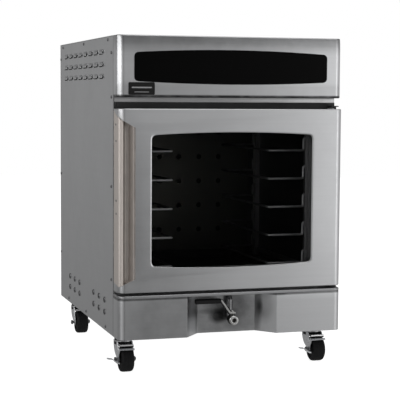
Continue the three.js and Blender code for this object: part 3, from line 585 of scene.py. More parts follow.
def louver_rise(y, z):
    """How far the pressed hood stands out at this place: full at its open front end, falling to the rear."""
    i = round((y - LOUVER["first"]) / LOUVER["pitch"])
    t = (y - LOUVER["first"] - i * LOUVER["pitch"]) / LOUVER["length"] + 0.5
    if not 0 <= i < LOUVER["count"] or not LOUVER["mouth"] - 0.0001 < t < 1:
        return 0.0
    for row in LOUVER_ROWS:
        v = (row + LOUVER["height"] / 2 - z) / LOUVER["height"]
        if 0 < v <= 1.0001:
            return LOUVER["stand"] * math.sqrt(1 - t ** 2.2) * math.sin(v * math.pi / 2) ** 1.1
    return 0.0


def side_marks():
    """Grid marks along y and z at which the louvers and the vents' cells meet the flat sheet."""
    ys = both_sides(VENT_COLUMNS, VENT_CELL)
    for i in range(LOUVER["count"]):
        start = LOUVER["first"] + i * LOUVER["pitch"] - LOUVER["length"] / 2
        shares = (0.0, LOUVER["mouth"], 0.18, 0.34, 0.5, 0.64, 0.77, 0.88, 0.96, 1.0)
        ys += [start + LOUVER["length"] * t for t in shares]
    zs = both_sides(VENT_ROWS, VENT_CELL)
    for row in LOUVER_ROWS:
        top, bottom = row + LOUVER["height"] / 2, row - LOUVER["height"] / 2
        zs += [top - (top - bottom) * t for t in (0.0, 0.12, 0.28, 0.46, 0.64, 0.82, 1.0)]
        zs.append(bottom - LOUVER["slit"])
    return ys, zs


def side_panel(word, side):
    """A side sheet with its rounded upright edges, its pressed louvers and its vent holes."""
    soft = 1.6
    ys, zs = side_marks()
    ys = ladder(SEAM + soft, BODY_BACK - soft, ys)
    zs = ladder(PAN_BOTTOM - SHEET, top_high.z - 2.8, zs)
    shape = Shape()

    def at(y, z):
        return (side * (HALF + louver_rise(y, z)), y, z)

    def is_open(y0, y1, z0, z1):
        """Whether this cell is the open end of a louver, or lies where a vent's own cell goes."""
        yc, zc = (y0 + y1) / 2, (z0 + z1) / 2
        if abs(z1 - z0 - LOUVER["slit"]) < 0.01 and louver_rise(yc, z1) > 0.5:
            return True
        mouth = LOUVER["length"] * LOUVER["mouth"]
        if abs(y1 - y0 - mouth) < 0.01 and louver_rise(y1, zc) > LOUVER["stand"] * 0.45:
            return True
        near_column = any(abs(yc - y) < VENT_CELL for y in VENT_COLUMNS)
        return near_column and any(abs(zc - z) < VENT_CELL for z in VENT_ROWS)

    edge = HALF - soft
    front = [(HALF - 14, SEAM)] + [(edge + a, SEAM + soft + b) for a, b in arc(0, 0, soft, -90, 0, 4)]
    back = [(edge + a, BODY_BACK - soft + b) for a, b in arc(0, 0, soft, 0, 90, 4)] + [(HALF - 14, BODY_BACK)]
    for z0, z1 in zip(zs, zs[1:]):
        for path in (front, back):
            shape.rows([[(side * x, y, z) for x, y in path] for z in (z0, z1)])
        for y0, y1 in zip(ys, ys[1:]):
            if not is_open(y0, y1, z0, z1):
                shape.face([at(y0, z0), at(y1, z0), at(y1, z1), at(y0, z1)])
    for y in VENT_COLUMNS:
        for z in VENT_ROWS:
            spare = [m for m in ys if y - VENT_CELL < m < y + VENT_CELL]
            marks = [y - VENT_CELL] + spare + [y + VENT_CELL]
            hole_patch(shape, y, z, VENT_RADIUS, marks, VENT_CELL, lambda a, b: (side * HALF, a, b))
    name = f"side_panel_{word}"
    shape.finish(name, "cabinet", "side", [name], sheet=SHEET, smooth=40, outward=(0, 30, 550))


def hole_patch(shape, u, v, radius, marks, cell, place, steps=24):
    """A square cell with a round hole; marks along u are where it meets its neighbours."""
    rim = arc(u, v, radius, 45, 405, steps)[:-1]
    quarter = steps // 4
    high = [(m, v + cell) for m in reversed(marks)]
    low = [(m, v - cell) for m in marks]
    for k, outer in enumerate((high, [high[-1], low[0]], low, [low[-1], high[0]])):
        ring = [rim[(k * quarter + i) % steps] for i in range(quarter + 1)]
        shape.face([place(*p) for p in outer + ring[::-1]])


def vent_lips(word, side):
    """The rolled lip and short throat of every vent hole."""
    profile = [(6.3, -8), (6.9, -8), (6.9, 0), (9.2, 0), (9.0, 1.4), (8.2, 2.2), (6.3, 1.6), (6.3, -8)]
    lips = Shape()
    for y in VENT_COLUMNS:
        for z in VENT_ROWS:
            lips.lathe([(r, side * h) for r, h in profile], (side * HALF, y, z), "x", 24)
    # The lips take the dark axle zinc: painted shade round the vent holes.
    lips.finish(f"vent_lips_{word}", "cabinet", "axle", smooth=40)


for word, side in SIDES:
    side_panel(word, side)
    vent_lips(word, side)


# ---- screws
def screw(shape, centre, axis, sign, radius, turn):
    """A low pan head with a cross recess, its face along sign times the axis."""
    steps = 24
    height = radius * 0.42
    arm, reach = radius * 0.16, radius * 0.55

    def cross(angle):
        c, s = max(abs(math.cos(angle)), 1e-6), max(abs(math.sin(angle)), 1e-6)
        return max(min(reach / c, arm / s), min(arm / c, reach / s))

    def ring(level, scale=None):
        points = []
        for i in range(steps):
            angle = 2 * math.pi * i / steps
            r = radius * scale if scale else cross(angle)
            a, b = r * math.cos(angle + turn), r * math.sin(angle + turn)
            points.append(AXES[axis](centre, a, b, sign * level))
        return points

    rows = [ring(0.0, 1.0), ring(height * 0.35, 1.0), ring(height * 0.75, 0.9), ring(height, 0.72)]
    rows += [ring(height), ring(height * 0.45)]
    shape.rows(rows, closed=True)
    shape.face(rows[-1])


def screws(name, body, axis, sign, radius, places, turn, step):
    """Screws at these places; each is turned a step further than the one before."""
    shape = Shape()
    for i, place in enumerate(places):
        screw(shape, place, axis, sign, radius, turn + step * i)
    shape.finish(name, body, "screw", smooth=40)


SIDE_SCREWS = (
    [(-358, z) for z in (950, 820, 556, 279)]
    + [(y, 989) for y in (-312, 37, 386)]
    + [(y, 124) for y in (-280, 5, 290)]
    + [(426, z) for z in (949, 549, 271)]
)
GRIP_SCREWS = ((-417, 741), (-419, 693), (-421, 519), (-421, 481))
COVER_SCREWS = [(x, z) for x in (-325, -108, 108, 325) for z in (247, 772)]
COVER_SCREWS += [(x, z) for x in (-325, 325) for z in (420, 600)]
PANEL_SCREWS = [(x, z) for x in (-300, -100, 100, 300) for z in (140, 960)]
for word, side in SIDES:
    places = [(side * HALF, y, z) for y, z in SIDE_SCREWS]
    screws(f"screws_side_{word}", "cabinet", "x", side, 4.6, places, 0.4, 0.7)
screws("screws_grip", "door", "x", -1, 3.2, [(-HALF, y, z) for y, z in GRIP_SCREWS], 0.5, 0.8)
places = [(x, COVER_BACK - 0.4, z) for x, z in COVER_SCREWS]
screws("screws_rear_cover", "cabinet", "y", 1, 4.0, places, 0.3, 0.5)
places = [(x, PANEL_BACK - 0.2, z) for x, z in PANEL_SCREWS]
screws("screws_rear_panel", "cabinet", "y", 1, 4.0, places, 0.2, 0.6)


# ---- header
def header_shell():
    """The header's folded skin; its top leans back a little."""
    soften, lean_reach, lean_depth, steps = 2.8, 38.0, 3.2, 8
    rows = cover_rows(header_low.y, header_high.y, HALF, RADIUS, header_low.z, header_high.z, soften)
    half = len(rows) // 2
    start = header_high.z - soften - 36
    extra = [[(x, y, start + 36 * i / steps) for x, y, z in rows[half - 1]] for i in range(steps)]
    leant = []
    for row in rows[:half] + extra + rows[half:]:
        share = max(0.0, (row[0][2] - header_high.z + lean_reach) / lean_reach)
        leant.append([(x, min(y + lean_depth * share ** 2, SEAM), z) for x, y, z in row])
    shape = Shape()
    shape.closed_skin(leant, closed=False)
    shape.front_skin("header_shell_skin", "cabinet", "header", "header_shell", (0, -400, 910))


header_shell()


def crowned_plate(name, look, node, outline_at, soften):
    """A thin plate in place of a CAD node, its front edge rounded. outline_at(grow) gives (x, z)."""
    low, high = mm_box(node)
    rows = [[(x, high.y, z) for x, z in outline_at(0)]]
    for a in (0, 30, 60, 90):
        inset = soften * (1 - math.cos(math.radians(a)))
        depth = low.y + soften * (1 - math.sin(math.radians(a)))
        rows.append([(x, depth, z) for x, z in outline_at(-inset)])
    shape = Shape()
    shape.closed_skin(rows)
    shape.finish(name, "cabinet", look, [node], smooth=50)


HEADER_WINDOW = {
    "half": 300, "bottom_mid": 858.5, "bottom_end": 866, "top_mid": 960, "top_end": 951, "corner": 14,
}


def header_outline(grow):
    return bowed(**HEADER_WINDOW, grow=grow)


def badge_outline(grow):
    low, high = badge_low, badge_high
    return round_box(low.x - grow, high.x + grow, low.z - grow, high.z + grow, 4 + grow, 5)


crowned_plate("header_window_gloss", "overlay", "header_window", header_outline, 0.9)
crowned_plate("badge_plate_blank", "badge", "badge_plate", badge_outline, 0.7)


def badge_trim():
    """Two plain bars, raised on the blank badge."""
    shape = Shape()
    front, back = badge_low.y - 0.3, badge_low.y + 0.2
    middle = (badge_low.x + badge_high.x) / 2
    for half_width, low, high in ((30, 846.4, 850.2), (22, 834.4, 836.2)):
        bar = round_box(middle - half_width, middle + half_width, low, high, 0.8, 3)
        shape.prism(bar, "y", ORIGIN, front, back)
    shape.finish("badge_bars", "cabinet", "silver", smooth=30)


badge_trim()


# ---- door skin and grip
SLOPE_TOP = {"lip": 731.0, "x": -0.548, "y": 0.349}
SLOPE_BOTTOM = {"lip": 290.0, "x": 0.43, "y": 0.12}


def grip_end(x, y, slope):
    """Height of the grip's sloping end above this plan point."""
    return slope["lip"] + slope["x"] * (x - LIP_X) + slope["y"] * (y - DOOR_FRONT)


DOOR_WINDOW = {
    "half": 250, "bottom_mid": 317, "bottom_end": 325, "top_mid": 718, "top_end": 711, "corner": 16,
}
WINDOW_RIM = 4.5


def window_outline(grow):
    return bowed(**DOOR_WINDOW, grow=grow)


def door_skin():
    """The door's folded skin, with a rolled window rim and a notch for the grip."""
    rows = cover_rows(DOOR_FRONT, DOOR_BACK, HALF, RADIUS, door_low.z, door_high.z, 2.6)
    half = len(rows) // 2
    lower, upper = rows[half - 1], rows[half]
    shape = Shape()
    shape.rows(rows[:half])
    shape.rows(rows[half:])
    shape.face(rows[0])
    shape.face(rows[-1])
    ends = ((SLOPE_BOTTOM, -0.3), (SLOPE_TOP, 0.3))
    flat_left = next(i for i, p in enumerate(lower) if abs(p[0] + HALF - RADIUS) < 0.01)
    flat_right = flat_left + 1
    for row, (slope, gap) in zip((lower, upper), ends):
        notch = [(x, y, grip_end(x, y, slope) + gap) for x, y, z in row[: flat_left + 1]]
        shape.between(row[: flat_left + 1], notch)
    shape.between(lower[flat_right:], upper[flat_right:])
    notch_x = LIP_X + 0.3
    outer = [lower[flat_left], lower[flat_right], upper[flat_right], upper[flat_left]]
    for (slope, gap), xs in zip(ends[::-1], ((outer[0][0], notch_x), (notch_x, outer[0][0]))):
        outer += [(x, DOOR_FRONT, grip_end(x, DOOR_FRONT, slope) + gap) for x in xs]
    hole = [(x, DOOR_FRONT, z) for x, z in window_outline(WINDOW_RIM)]
    points = outer + hole
    for tri in tessellate_polygon([[Vector(p) for p in outer], [Vector(p) for p in hole]]):
        shape.face([points[i] for i in tri])
    loops = [hole]
    for share, drop in ((0.75, 0.06), (0.5, 0.24), (0.25, 0.62), (0.08, 1.0), (0.0, 1.4)):
        loops.append([(x, DOOR_FRONT + drop, z) for x, z in window_outline(WINDOW_RIM * share)])
    shape.rows(loops, closed=True)
    shape.front_skin("door_skin_formed", "door", "front", "door_skin", (0, -400, 510), 1.4)


def grip_profile():
    """Plan path of the grip's outer face: side flange, bead at the corner, finger groove, lip."""
    bead = 8.0
    path = [(-HALF, DOOR_BACK), (-HALF, DOOR_FRONT + 30)]
    path += arc(-HALF + bead, DOOR_FRONT + bead, bead, 180, 350, 14)
    path += arc(-HALF + 27, DOOR_FRONT + 10, 11, 170, 45, 10)
    path += [(x, DOOR_FRONT + y) for x, y in ((-305.6, 1.6), (-304.6, 0.6), (-303.2, 0), (LIP_X, 0))]
    return path


def door_grip():
    """The formed grip, and the small webs that close the groove at its sloping ends."""
    path = grip_profile()
    bottom = [Vector((x, y, grip_end(x, y, SLOPE_BOTTOM))) for x, y in path]
    top = [Vector((x, y, grip_end(x, y, SLOPE_TOP))) for x, y in path]
    shape = Shape()
    shape.rows([[a.lerp(b, i / 6) for a, b in zip(bottom, top)] for i in range(7)])
    shape.finish(
        "door_grip_formed", "door", "grip", ["door_handle"], sheet=2.0, smooth=35, outward=(-250, -300, 500)
    )
    first = next(i for i, (x, y) in enumerate(path) if y <= DOOR_FRONT + 0.05)
    groove = [p for p in path[first + 1 : -1] if p[1] > DOOR_FRONT + 0.01]
    ends = Shape()
    for slope in (SLOPE_BOTTOM, SLOPE_TOP):
        ends.face([(x, y, grip_end(x, y, slope)) for x, y in [path[first]] + groove + [path[-1]]])
    ends.finish("door_grip_ends", "door", "grip", sheet=0.8, smooth=35)


door_skin()
door_grip()


# ---- base ledge and base front
def base_ledge():
    rows = cover_rows(ledge_low.y, ledge_high.y, HALF, RADIUS + 2, ledge_low.z, ledge_high.z, 2.4)
    shape = Shape()
    shape.rows(rows)
    shape.face(rows[-1])
    shape.front_skin("base_ledge_nose", "cabinet", "ledge", "base_ledge", (0, -420, 236))


RECESS = {"outer": 141.0, "inner": 91.0, "back": -393.0, "fold": 1.4}
PIPE = {"x": 6.0, "z": 220.0, "radius": 10.0, "bend": 13.0}


def base_front():
    """The base front with its slanted recess; its folds are rounded and its pipe hole is cut."""
    front, low, high = base_low.y, base_low.z, base_high.z
    back, pipe_x = RECESS["back"], PIPE["x"]
    folds = [(RADIUS - HALF, front, 0), (-RECESS["outer"], front, 0), (-RECESS["inner"], back, 0)]
    folds += [(-x, y, z) for x, y, z in folds[::-1]]
    middle = [(p.x, p.y) for p in bend(folds, RECESS["fold"], 3)][1:-1]
    ends = front_plan(front, SEAM, HALF, RADIUS)
    plan = ends[: len(ends) // 2] + middle + ends[len(ends) // 2 :]
    levels = [low, low + 1.0, PIPE["z"] - 11, high]
    shape = Shape()
    for (xa, ya), (xb, yb) in zip(plan, plan[1:]):
        at_back = max(abs(ya - back), abs(yb - back)) < 0.01
        for z0, z1 in zip(levels, levels[1:]):
            if not at_back or z1 < high:
                shape.face([(xa, ya, z0), (xb, yb, z0), (xb, yb, z1), (xa, ya, z1)])
                continue
            for x, start, first, last in ((xa, 90, z0, z1), (xb, 270, z1, z0)):
                rim = arc(pipe_x, PIPE["z"], PIPE["radius"] + 0.7, start, start + 180, 12)
                half_cell = [(pipe_x, first)] + rim[::-1] + [(pipe_x, last), (x, last), (x, first)]
                shape.face([(a, ya, b) for a, b in half_cell])
    shape.front_skin("base_front_formed", "cabinet", "base", "base_front_panel", (0, -300, 170))


base_ledge()
base_front()


# ---- kept CAD nodes
def dress(look, width, *names):
    """Gives kept CAD nodes their material, and rounds their edges by width."""
    for name in names:
        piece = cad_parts[name]
        piece.data.materials.clear()
        piece.data.materials.append(LOOKS[look])
        for polygon in piece.data.polygons:
            polygon.material_index = 0
        if width:
            piece.modifiers.new("weld", "WELD").merge_threshold = 1e-5
            flat = piece.modifiers.new("flatten", "DECIMATE")
            flat.decimate_type = "DISSOLVE"
            flat.angle_limit = math.radians(0.5)
            add_bevel(piece, width)


dress("top", 0.6, "top_panel")
dress("back", 0.6, "rear_panel", "rear_cover")
dress("frame", 0.3, "front_frame")
dress("plastic", 0.5, "cord_gland")
dress("board", 0.3, "control_board")
dress("zinc", 0.3, "base_pan", "water_heater", "fan_motor", "air_heater")
# The hinge brackets are black as painted shade in the gaps above and below the door.
dress("bracket", 0.3, "hinge_bracket_lower", "hinge_bracket_upper")
dress("liner", 0.3, "cavity_liner", "water_pan")
dress("inner", 0.3, "door_inner_panel", "fan_wheel")
dress("inner", 0, "rack_frame_left", "rack_frame_right")
dress("wool", 0, "insulation_wrap")
dress("glass", 0, "door_glass_outer")
dress("glass_inner", 0, "door_glass_inner")
dress("gasket", 0.8, "door_gasket")


# ---- cavity: air baffle and wire supports
AIR_HOLE = {"radius": 9.0, "cell": 14.0, "pitch": (72.0, 85.0), "count": (6, 5), "middle": 527.0}


def air_baffle():
    """The baffle sheet with its grid of round holes."""
    shape = Shape()
    cell = AIR_HOLE["cell"]
    (step_x, step_z), (nx, nz) = AIR_HOLE["pitch"], AIR_HOLE["count"]
    xs = [(i - (nx - 1) / 2) * step_x for i in range(nx)]
    zs = [AIR_HOLE["middle"] + (j - (nz - 1) / 2) * step_z for j in range(nz)]
    marks_x = ladder(baffle_low.x, baffle_high.x, both_sides(xs, cell))
    marks_z = ladder(baffle_low.z, baffle_high.z, both_sides(zs, cell))
    y = baffle_low.y
    for x0, x1 in zip(marks_x, marks_x[1:]):
        for z0, z1 in zip(marks_z, marks_z[1:]):
            xc, zc = (x0 + x1) / 2, (z0 + z1) / 2
            if any(abs(xc - a) < 1 and abs(zc - b) < 1 for a in xs for b in zs):
                hole_patch(shape, xc, zc, AIR_HOLE["radius"], [x0, x1], cell, lambda a, b: (a, y, b))
            else:
                shape.face([(x0, y, z0), (x1, y, z0), (x1, y, z1), (x0, y, z1)])
    behind = (0, 300, 518)
    shape.finish("rear_baffle_sheet", "cabinet", "cavity", ["rear_baffle"], sheet=SHEET, outward=behind)


air_baffle()

# The wires are drawn a quarter thicker than their CAD solids.
WIRE = {
    "radius": 3.0, "thicker": 1.25, "bend": 4.6, "post": 273.2, "leg": 268.0, "inner": 156.0,
    "front": -334.0, "back": 139.0, "rise": 37.0,
}


def pan_support(word, side, number):
    """One bent wire: it hooks on both posts, and its long bar carries the edge of a pan."""
    node = f"rack_support_{word}_{number}"
    z = mm_box(node)[0].z + WIRE["radius"]
    front, back, up = WIRE["front"], WIRE["back"], z + WIRE["rise"]
    post, leg, inner = side * WIRE["post"], side * WIRE["leg"], side * WIRE["inner"]
    half = [(post, front, up), (leg, front, up), (leg, front, z), (inner, front, z)]
    path = half + [(p[0], back, p[2]) for p in reversed(half)]
    shape = Shape()
    shape.tube(bend(path, WIRE["bend"], 5), WIRE["radius"] * WIRE["thicker"], 12)
    shape.finish(f"pan_wire_{word}_{number}", "cabinet", "wire", [node], smooth=60)


for word, side in SIDES:
    for number in range(1, 6):
        pan_support(word, side, number)


# ---- drain pipe and valve
VALVE = {"x": PIPE["x"], "y": -432.0, "z": 155.0, "drop_y": -404.0}
VALVE_AT = (VALVE["x"], VALVE["y"], VALVE["z"])


def drain_pipe():
    """The pipe that comes through the recess, and the elbow that turns it into the valve."""
    low, high = mm_box("drain_pipe")
    x, drop, z = PIPE["x"], VALVE["drop_y"], VALVE["z"]
    down = [(x, -300, high.z), (x, -300, PIPE["z"]), (x, drop, PIPE["z"]), (x, drop, z + 12)]
    elbow = [(x, drop, z + 30), (x, drop, z), (x, low.y, z)]
    shape = Shape()
    for path, radius in ((down, PIPE["radius"]), (elbow, PIPE["radius"] - 0.1)):
        shape.tube(bend(path, PIPE["bend"], 6), radius, 24, closed_ends=False)
    shape.finish("drain_pipe_run", "cabinet", "pipe", ["drain_pipe"], smooth=60)


def hexagon(radius, turn=0):
    return arc(0, 0, radius, turn, turn + 300, 5)


def drain_valve():
    """The barrel with its rimmed outlet and the stem's boss, and the hexagon that it is turned by."""
    profile = [
        (0, -8), (5.2, -8), (5.2, -19.2), (6.2, -20), (12.6, -20), (13.5, -19), (13.5, -16), (12.4, -15),
        (11.2, -14.2), (11.2, 9), (12.2, 10), (12.2, 13), (11.2, 14), (0, 14),
    ]
    boss = [(0, 6), (7, 6), (7, 15), (8.2, 15.6), (8.2, 17.4), (7.4, 18), (0, 18)]
    barrel = Shape()
    barrel.lathe(profile, VALVE_AT, "y", 36)
    barrel.lathe(boss, VALVE_AT, "z", 28)
    barrel.finish("drain_valve_barrel", "cabinet", "valve", ["drain_valve_body"], smooth=40, bevel=0.25)
    nut = Shape()
    nut.prism(hexagon(15), "y", VALVE_AT, -12, 9)
    nut.finish("drain_valve_hexagon", "cabinet", "valve", bevel=0.9, smooth=30)


def valve_ring():
    """The bright rim of the outlet, standing round its dark bore."""
    profile = [
        (6.4, -19.6), (7.0, -20.6), (9.6, -21.0), (12.8, -20.6), (13.9, -19.4), (13.9, -16.6), (13.2, -15.6),
        (9, -15.6), (6.4, -19.6),
    ]
    shape = Shape()
    shape.lathe(profile, VALVE_AT, "y", 40)
    shape.finish("drain_outlet_ring", "cabinet", "ring", smooth=35)


def ribbon(path, width):
    """Outline (x, z) of a flat bar of this width along a path."""
    upper, lower = [], []
    for before, point, after in zip(path[:1] + path, path, path[1:] + path[-1:]):
        ahead = (after - before).normalized()
        side = Vector((ahead.z, 0, -ahead.x)) * (width / 2)
        upper.append((point.x + side.x, point.z + side.z))
        lower.append((point.x - side.x, point.z - side.z))
    return upper + lower[::-1]


def drain_lever():
    """The bent arm with its eye and nut on the stem, and a web behind it, black as painted shade along the
    arm.
    """
    x, y = VALVE["x"], VALVE["y"]
    half, eye, top = 6.0, 173.3, 214.5
    path = bend([(x + 9, 0, eye + 2.5), (x - 7.5, 0, eye + 2.5), (-28.8, 0, top), (-101, 0, top)], 5, 5)
    arm = Shape()
    arm.prism(ribbon(path, 5.0), "y", (0, y, 0), -half, half - 3)
    arm.prism(hexagon(6), "z", (x, y, 0), eye + 4.9, eye + 8)
    arm.lathe([(0, 8), (2.4, 8), (3, 8.5), (3, 10.2), (2.4, 10.8), (0, 10.8)], (x, y, eye), "z", 18)
    arm.finish("drain_lever_arm", "drain_handle", "arm", ["drain_lever"], bevel=0.7, smooth=32)
    foot, head = Vector((x - 5, eye + 1)), Vector((-28, 214))
    along = (head - foot).normalized()
    across = Vector((along.y, -along.x)) * 6.5
    outline = [foot - across, foot + across, head + across * 0.8, head - across * 0.8]
    web = Shape()
    web.prism(outline, "y", (0, y, 0), half - 4, half)
    web.finish("drain_lever_web", "drain_handle", "bracket", bevel=0.7, smooth=32)


def lever_sleeve():
    """The dipped grip: a soft sleeve with finger rings and a rounded far end."""
    y, z = VALVE["y"], 213.0
    stations = [(-111, 0.55), (-110.2, 0.78), (-108.4, 0.93), (-106, 1.0)]
    for i in range(9):
        at = -100 + i * 7.4
        stations += [(at, 1.0), (at + 1.1, 0.95), (at + 2.2, 1.0)]
    stations += [(-33, 1.0), (-31, 0.94), (-30, 0.8)]
    section = round_box(-8.5, 8.5, -7.5, 7.5, 5.2, 5)
    shape = Shape()
    shape.closed_skin([[(x, y + a * grow, z + b * grow) for a, b in section] for x, grow in stations])
    shape.finish("drain_lever_sleeve", "drain_handle", "vinyl", ["drain_lever_grip"], smooth=45)


drain_pipe()
drain_valve()
valve_ring()
drain_lever()
lever_sleeve()


# ---- casters
AXLE = {"y": -35.0, "z": 38.0}
CASTER_X, CASTER_Y = 306, 328
BRIDGE_HALF = 21.2


def caster_mount(corner, at):
    """The rounded mounting plate with its four bolt heads, and the raceway below it, black as painted shade.
    """
    cx, cy, floor = at
    top = mm_box(f"caster_plate_{corner}")[1].z
    plate = Shape()
    plate.prism(round_box(-31, 31, -46, 46, 7, 4), "z", at, top - 3, top)
    for x in (cx - 22, cx + 22):
        for y in (cy - 37, cy + 37):
            plate.prism(hexagon(5.6, 20), "z", (x, y, floor), top - 6.6, top - 3)
    plate.finish(
        f"caster_plate_formed_{corner}", "cabinet", "zinc", [f"caster_plate_{corner}"], bevel=0.5, smooth=30
    )
    profile = [(8, 92.2), (25.5, 92.2), (26, 93), (26, 99), (23.5, 101.5), (23.5, 105), (27, 107)]
    profile += [(27, top - 2.9), (8, top - 2.9), (8, 92.2)]
    race = Shape()
    race.lathe(profile, at, "z", 40)
    race.finish(f"caster_raceway_{corner}", "cabinet", "caster_shade", smooth=40)


def caster_crown(corner, body, at):
    """A bright crown ring, and the bright front lip of the bridge below it."""
    profile = [(9, 86.4), (25.6, 86.4), (27.4, 87), (28, 88.4), (28, 90), (27, 91.2), (25.6, 91.5), (9, 91.5)]
    lip = [(-50.8, 79.6), (-50, 79.6), (-49.6, 82.1), (-41, 82.1), (-41, 82.9), (-50.4, 82.9)]
    ring = Shape()
    ring.lathe(profile + profile[:1], at, "z", 44)
    ring.prism(lip, "x", at, -BRIDGE_HALF, BRIDGE_HALF)
    ring.finish(f"caster_crown_{corner}", body, "crown", smooth=32)


def caster_fork(corner, body, at):
    """Two pressed legs, which reach from the crown down round the axle."""
    leg = [(24, 89), (-26, 89), (-31, 83), (-35, 74)]
    leg += arc(AXLE["y"], AXLE["z"], 11.5, 168, 352, 12)
    leg += [(6, 50), (17, 62), (22, 74)]
    legs = Shape()
    for low, high in ((-24, -21), (21, 24)):
        legs.prism(leg, "x", at, low, high)
    legs.finish(f"caster_fork_formed_{corner}", body, "zinc", [f"caster_fork_{corner}"], bevel=0.9, smooth=32)


def caster_dust_cap(corner, body, at):
    """The cap under the crown, and the bridge between the legs with its hollow for the wheel, both black as
    painted shade.
    """
    bridge = arc(AXLE["y"], AXLE["z"], 40.5, 111.7, 66, 10) + [(-18.5, 82), (-46, 82), (-49.6, 80)]
    cap = Shape()
    cap.lathe([(9, 77.5), (24, 77.5), (26.6, 78.6), (27, 80), (27, 86), (9, 86), (9, 77.5)], at, "z", 44)
    cap.prism(bridge, "x", at, -BRIDGE_HALF, BRIDGE_HALF)
    cap.finish(f"caster_dust_cap_{corner}", body, "caster_shade", bevel=0.5, smooth=32)


def caster_axle(corner, body, axle_at):
    """The axle bolt with its two nuts."""
    bolt = Shape()
    bolt.lathe([(0, -36), (3.2, -36), (4, -35.2), (4, 30.7), (3.2, 31.5), (0, 31.5)], axle_at, "x", 24)
    for start in (-35.0, 23.8):
        bolt.prism(hexagon(7.4, 12), "x", axle_at, start, start + 5.8)
    bolt.finish(f"caster_axle_{corner}", body, "axle", bevel=0.5, smooth=32)


def caster_wheel(corner, axle_at):
    """A moulded wheel: hub boss, dished web, and a broad tyre with fine tread grooves."""
    half = [
        (4.5, 20), (10.4, 20), (11, 19.4), (12.5, 15.6), (24.5, 15.2), (26.5, 18), (27.4, 19), (33.2, 19),
        (36.2, 16.8), (37.4, 13.6), (37.9, 10.4), (37.2, 9.9), (37.2, 9.3), (38, 8.8), (38, 3.4), (37.3, 2.9),
        (37.3, 2.3), (38, 1.8),
    ]
    profile = [(r, -h) for r, h in half] + [(r, h) for r, h in reversed(half)] + [(4.5, -20)]
    shape = Shape()
    shape.lathe(profile, axle_at, "x", 56)
    node = f"caster_wheel_{corner}"
    shape.finish(f"caster_wheel_moulded_{corner}", f"wheel_{corner}", "tyre", [node], smooth=38)


def caster_brake(corner, at):
    """The brake lever: an arm beside the leg, a bar across the tread, and a curled foot tab."""
    ax, az = AXLE["y"], AXLE["z"]
    outer, inner, reach = -26.8, -24.3, 41
    turn = math.radians(126)
    c, s = math.cos(turn), math.sin(turn)

    def by_tip(t, a):
        """A point t along the bar and a outwards from its middle."""
        return (ax + reach * c - t * s + a * c, az + reach * s + t * c + a * s)

    arm = arc(ax, az, 12, 60, -140, 14) + [by_tip(5, 0), by_tip(5, 3), by_tip(-5, 3)]
    bar = [by_tip(-1.5, 0.5), by_tip(5, 0.5), by_tip(5, 3), by_tip(-1.5, 3)]
    path = bend([(inner, 0, -6.5), (outer - 5, 0, -5.5), (outer - 19, 0, 5.5), (outer - 34, 0, 7.6)], 9, 5)
    upper = [(p.x, az + p.z + 1.3) for p in path]
    lower = [(p.x, az + p.z - (1.3 if p.x < outer - 17 else 3.2)) for p in path]
    shape = Shape()
    shape.prism(arm, "x", at, outer, inner)
    shape.prism(bar, "x", at, outer + 0.2, 21)
    shape.prism(upper + lower[::-1], "y", at, ax - 26, ax - 8.5)
    node = f"caster_brake_{corner}"
    shape.finish(f"caster_brake_formed_{corner}", f"brake_{corner}", "zinc", [node], bevel=0.6, smooth=32)


for end, cy in (("front", -CASTER_Y), ("rear", CASTER_Y)):
    for word, side in SIDES:
        corner, at = f"{end}_{word}", (side * CASTER_X, cy, 0)
        body, axle_at = f"caster_{corner}", (side * CASTER_X, cy + AXLE["y"], AXLE["z"])
        caster_mount(corner, at)
        caster_crown(corner, body, at)
        caster_fork(corner, body, at)
        caster_dust_cap(corner, body, at)
        caster_axle(corner, body, axle_at)
        caster_wheel(corner, axle_at)
        if end == "front":
            caster_brake(corner, at)


# ---- studio: floor, backdrop, lights, camera
def studio_floor(radius=9.0, steps=96):
    """A pale disc that glows a little, so that it stays even."""
    pale = Surface("floor_pale")
    pale.set(Base_Color=grey(0.55), Roughness=0.9, Specular_IOR_Level=0.1)
    pale.set(Emission_Color=grey(1.0), Emission_Strength=0.92)
    mesh = bpy.data.meshes.new("studio_floor")
    mesh.from_pydata([(x, y, -0.0004) for x, y in circle(radius, steps)], [], [tuple(range(steps))])
    mesh.materials.append(pale.material)
    piece = into_scene("studio_floor", mesh)
    piece.visible_glossy = False


def backdrop():
    """A plain white sphere, far outside the object, that only the camera sees."""
    white = bpy.data.materials.new("backdrop_white")
    n = Nodes(white)
    n.add("ShaderNodeOutputMaterial", [("Surface", n.add("ShaderNodeEmission").outputs[0])])
    mesh = bpy.data.meshes.new("studio_backdrop")
    bm = bmesh.new()
    bmesh.ops.create_uvsphere(bm, u_segments=48, v_segments=24, radius=9.0)
    bm.to_mesh(mesh)
    bm.free()
    mesh.materials.append(white)
    piece = into_scene("studio_backdrop", mesh)
    piece.visible_diffuse = piece.visible_glossy = piece.visible_transmission = False
    piece.visible_shadow = piece.visible_volume_scatter = False


studio_floor()
backdrop()

# Brightness round the studio by compass angle: 0 in front of the cabinet, 90 to its right, -90 to its left.
STUDIO_ROUND = (
    (-178, 0.42), (-165, 0.35), (-150, 0.33), (-85, 0.29), (-60, 0.85), (-40, 0.75), (-22, 0.56),
    (-6, 0.33), (7, 0.24), (14, 0.285), (20, 0.50), (28, 1.12), (58, 1.12), (75, 0.8), (100, 0.55),
    (145, 0.62), (178, 0.62),
)
# Brightness by height of the direction: -1 straight down, 1 straight up.
STUDIO_UP = (
    (-1.0, 0.45), (-0.5, 0.55), (-0.24, 0.68), (-0.10, 0.85), (-0.02, 1.0), (0.06, 1.06), (0.14, 0.75),
    (0.24, 0.26), (0.5, 0.34), (0.85, 0.75), (1.0, 0.8),
)


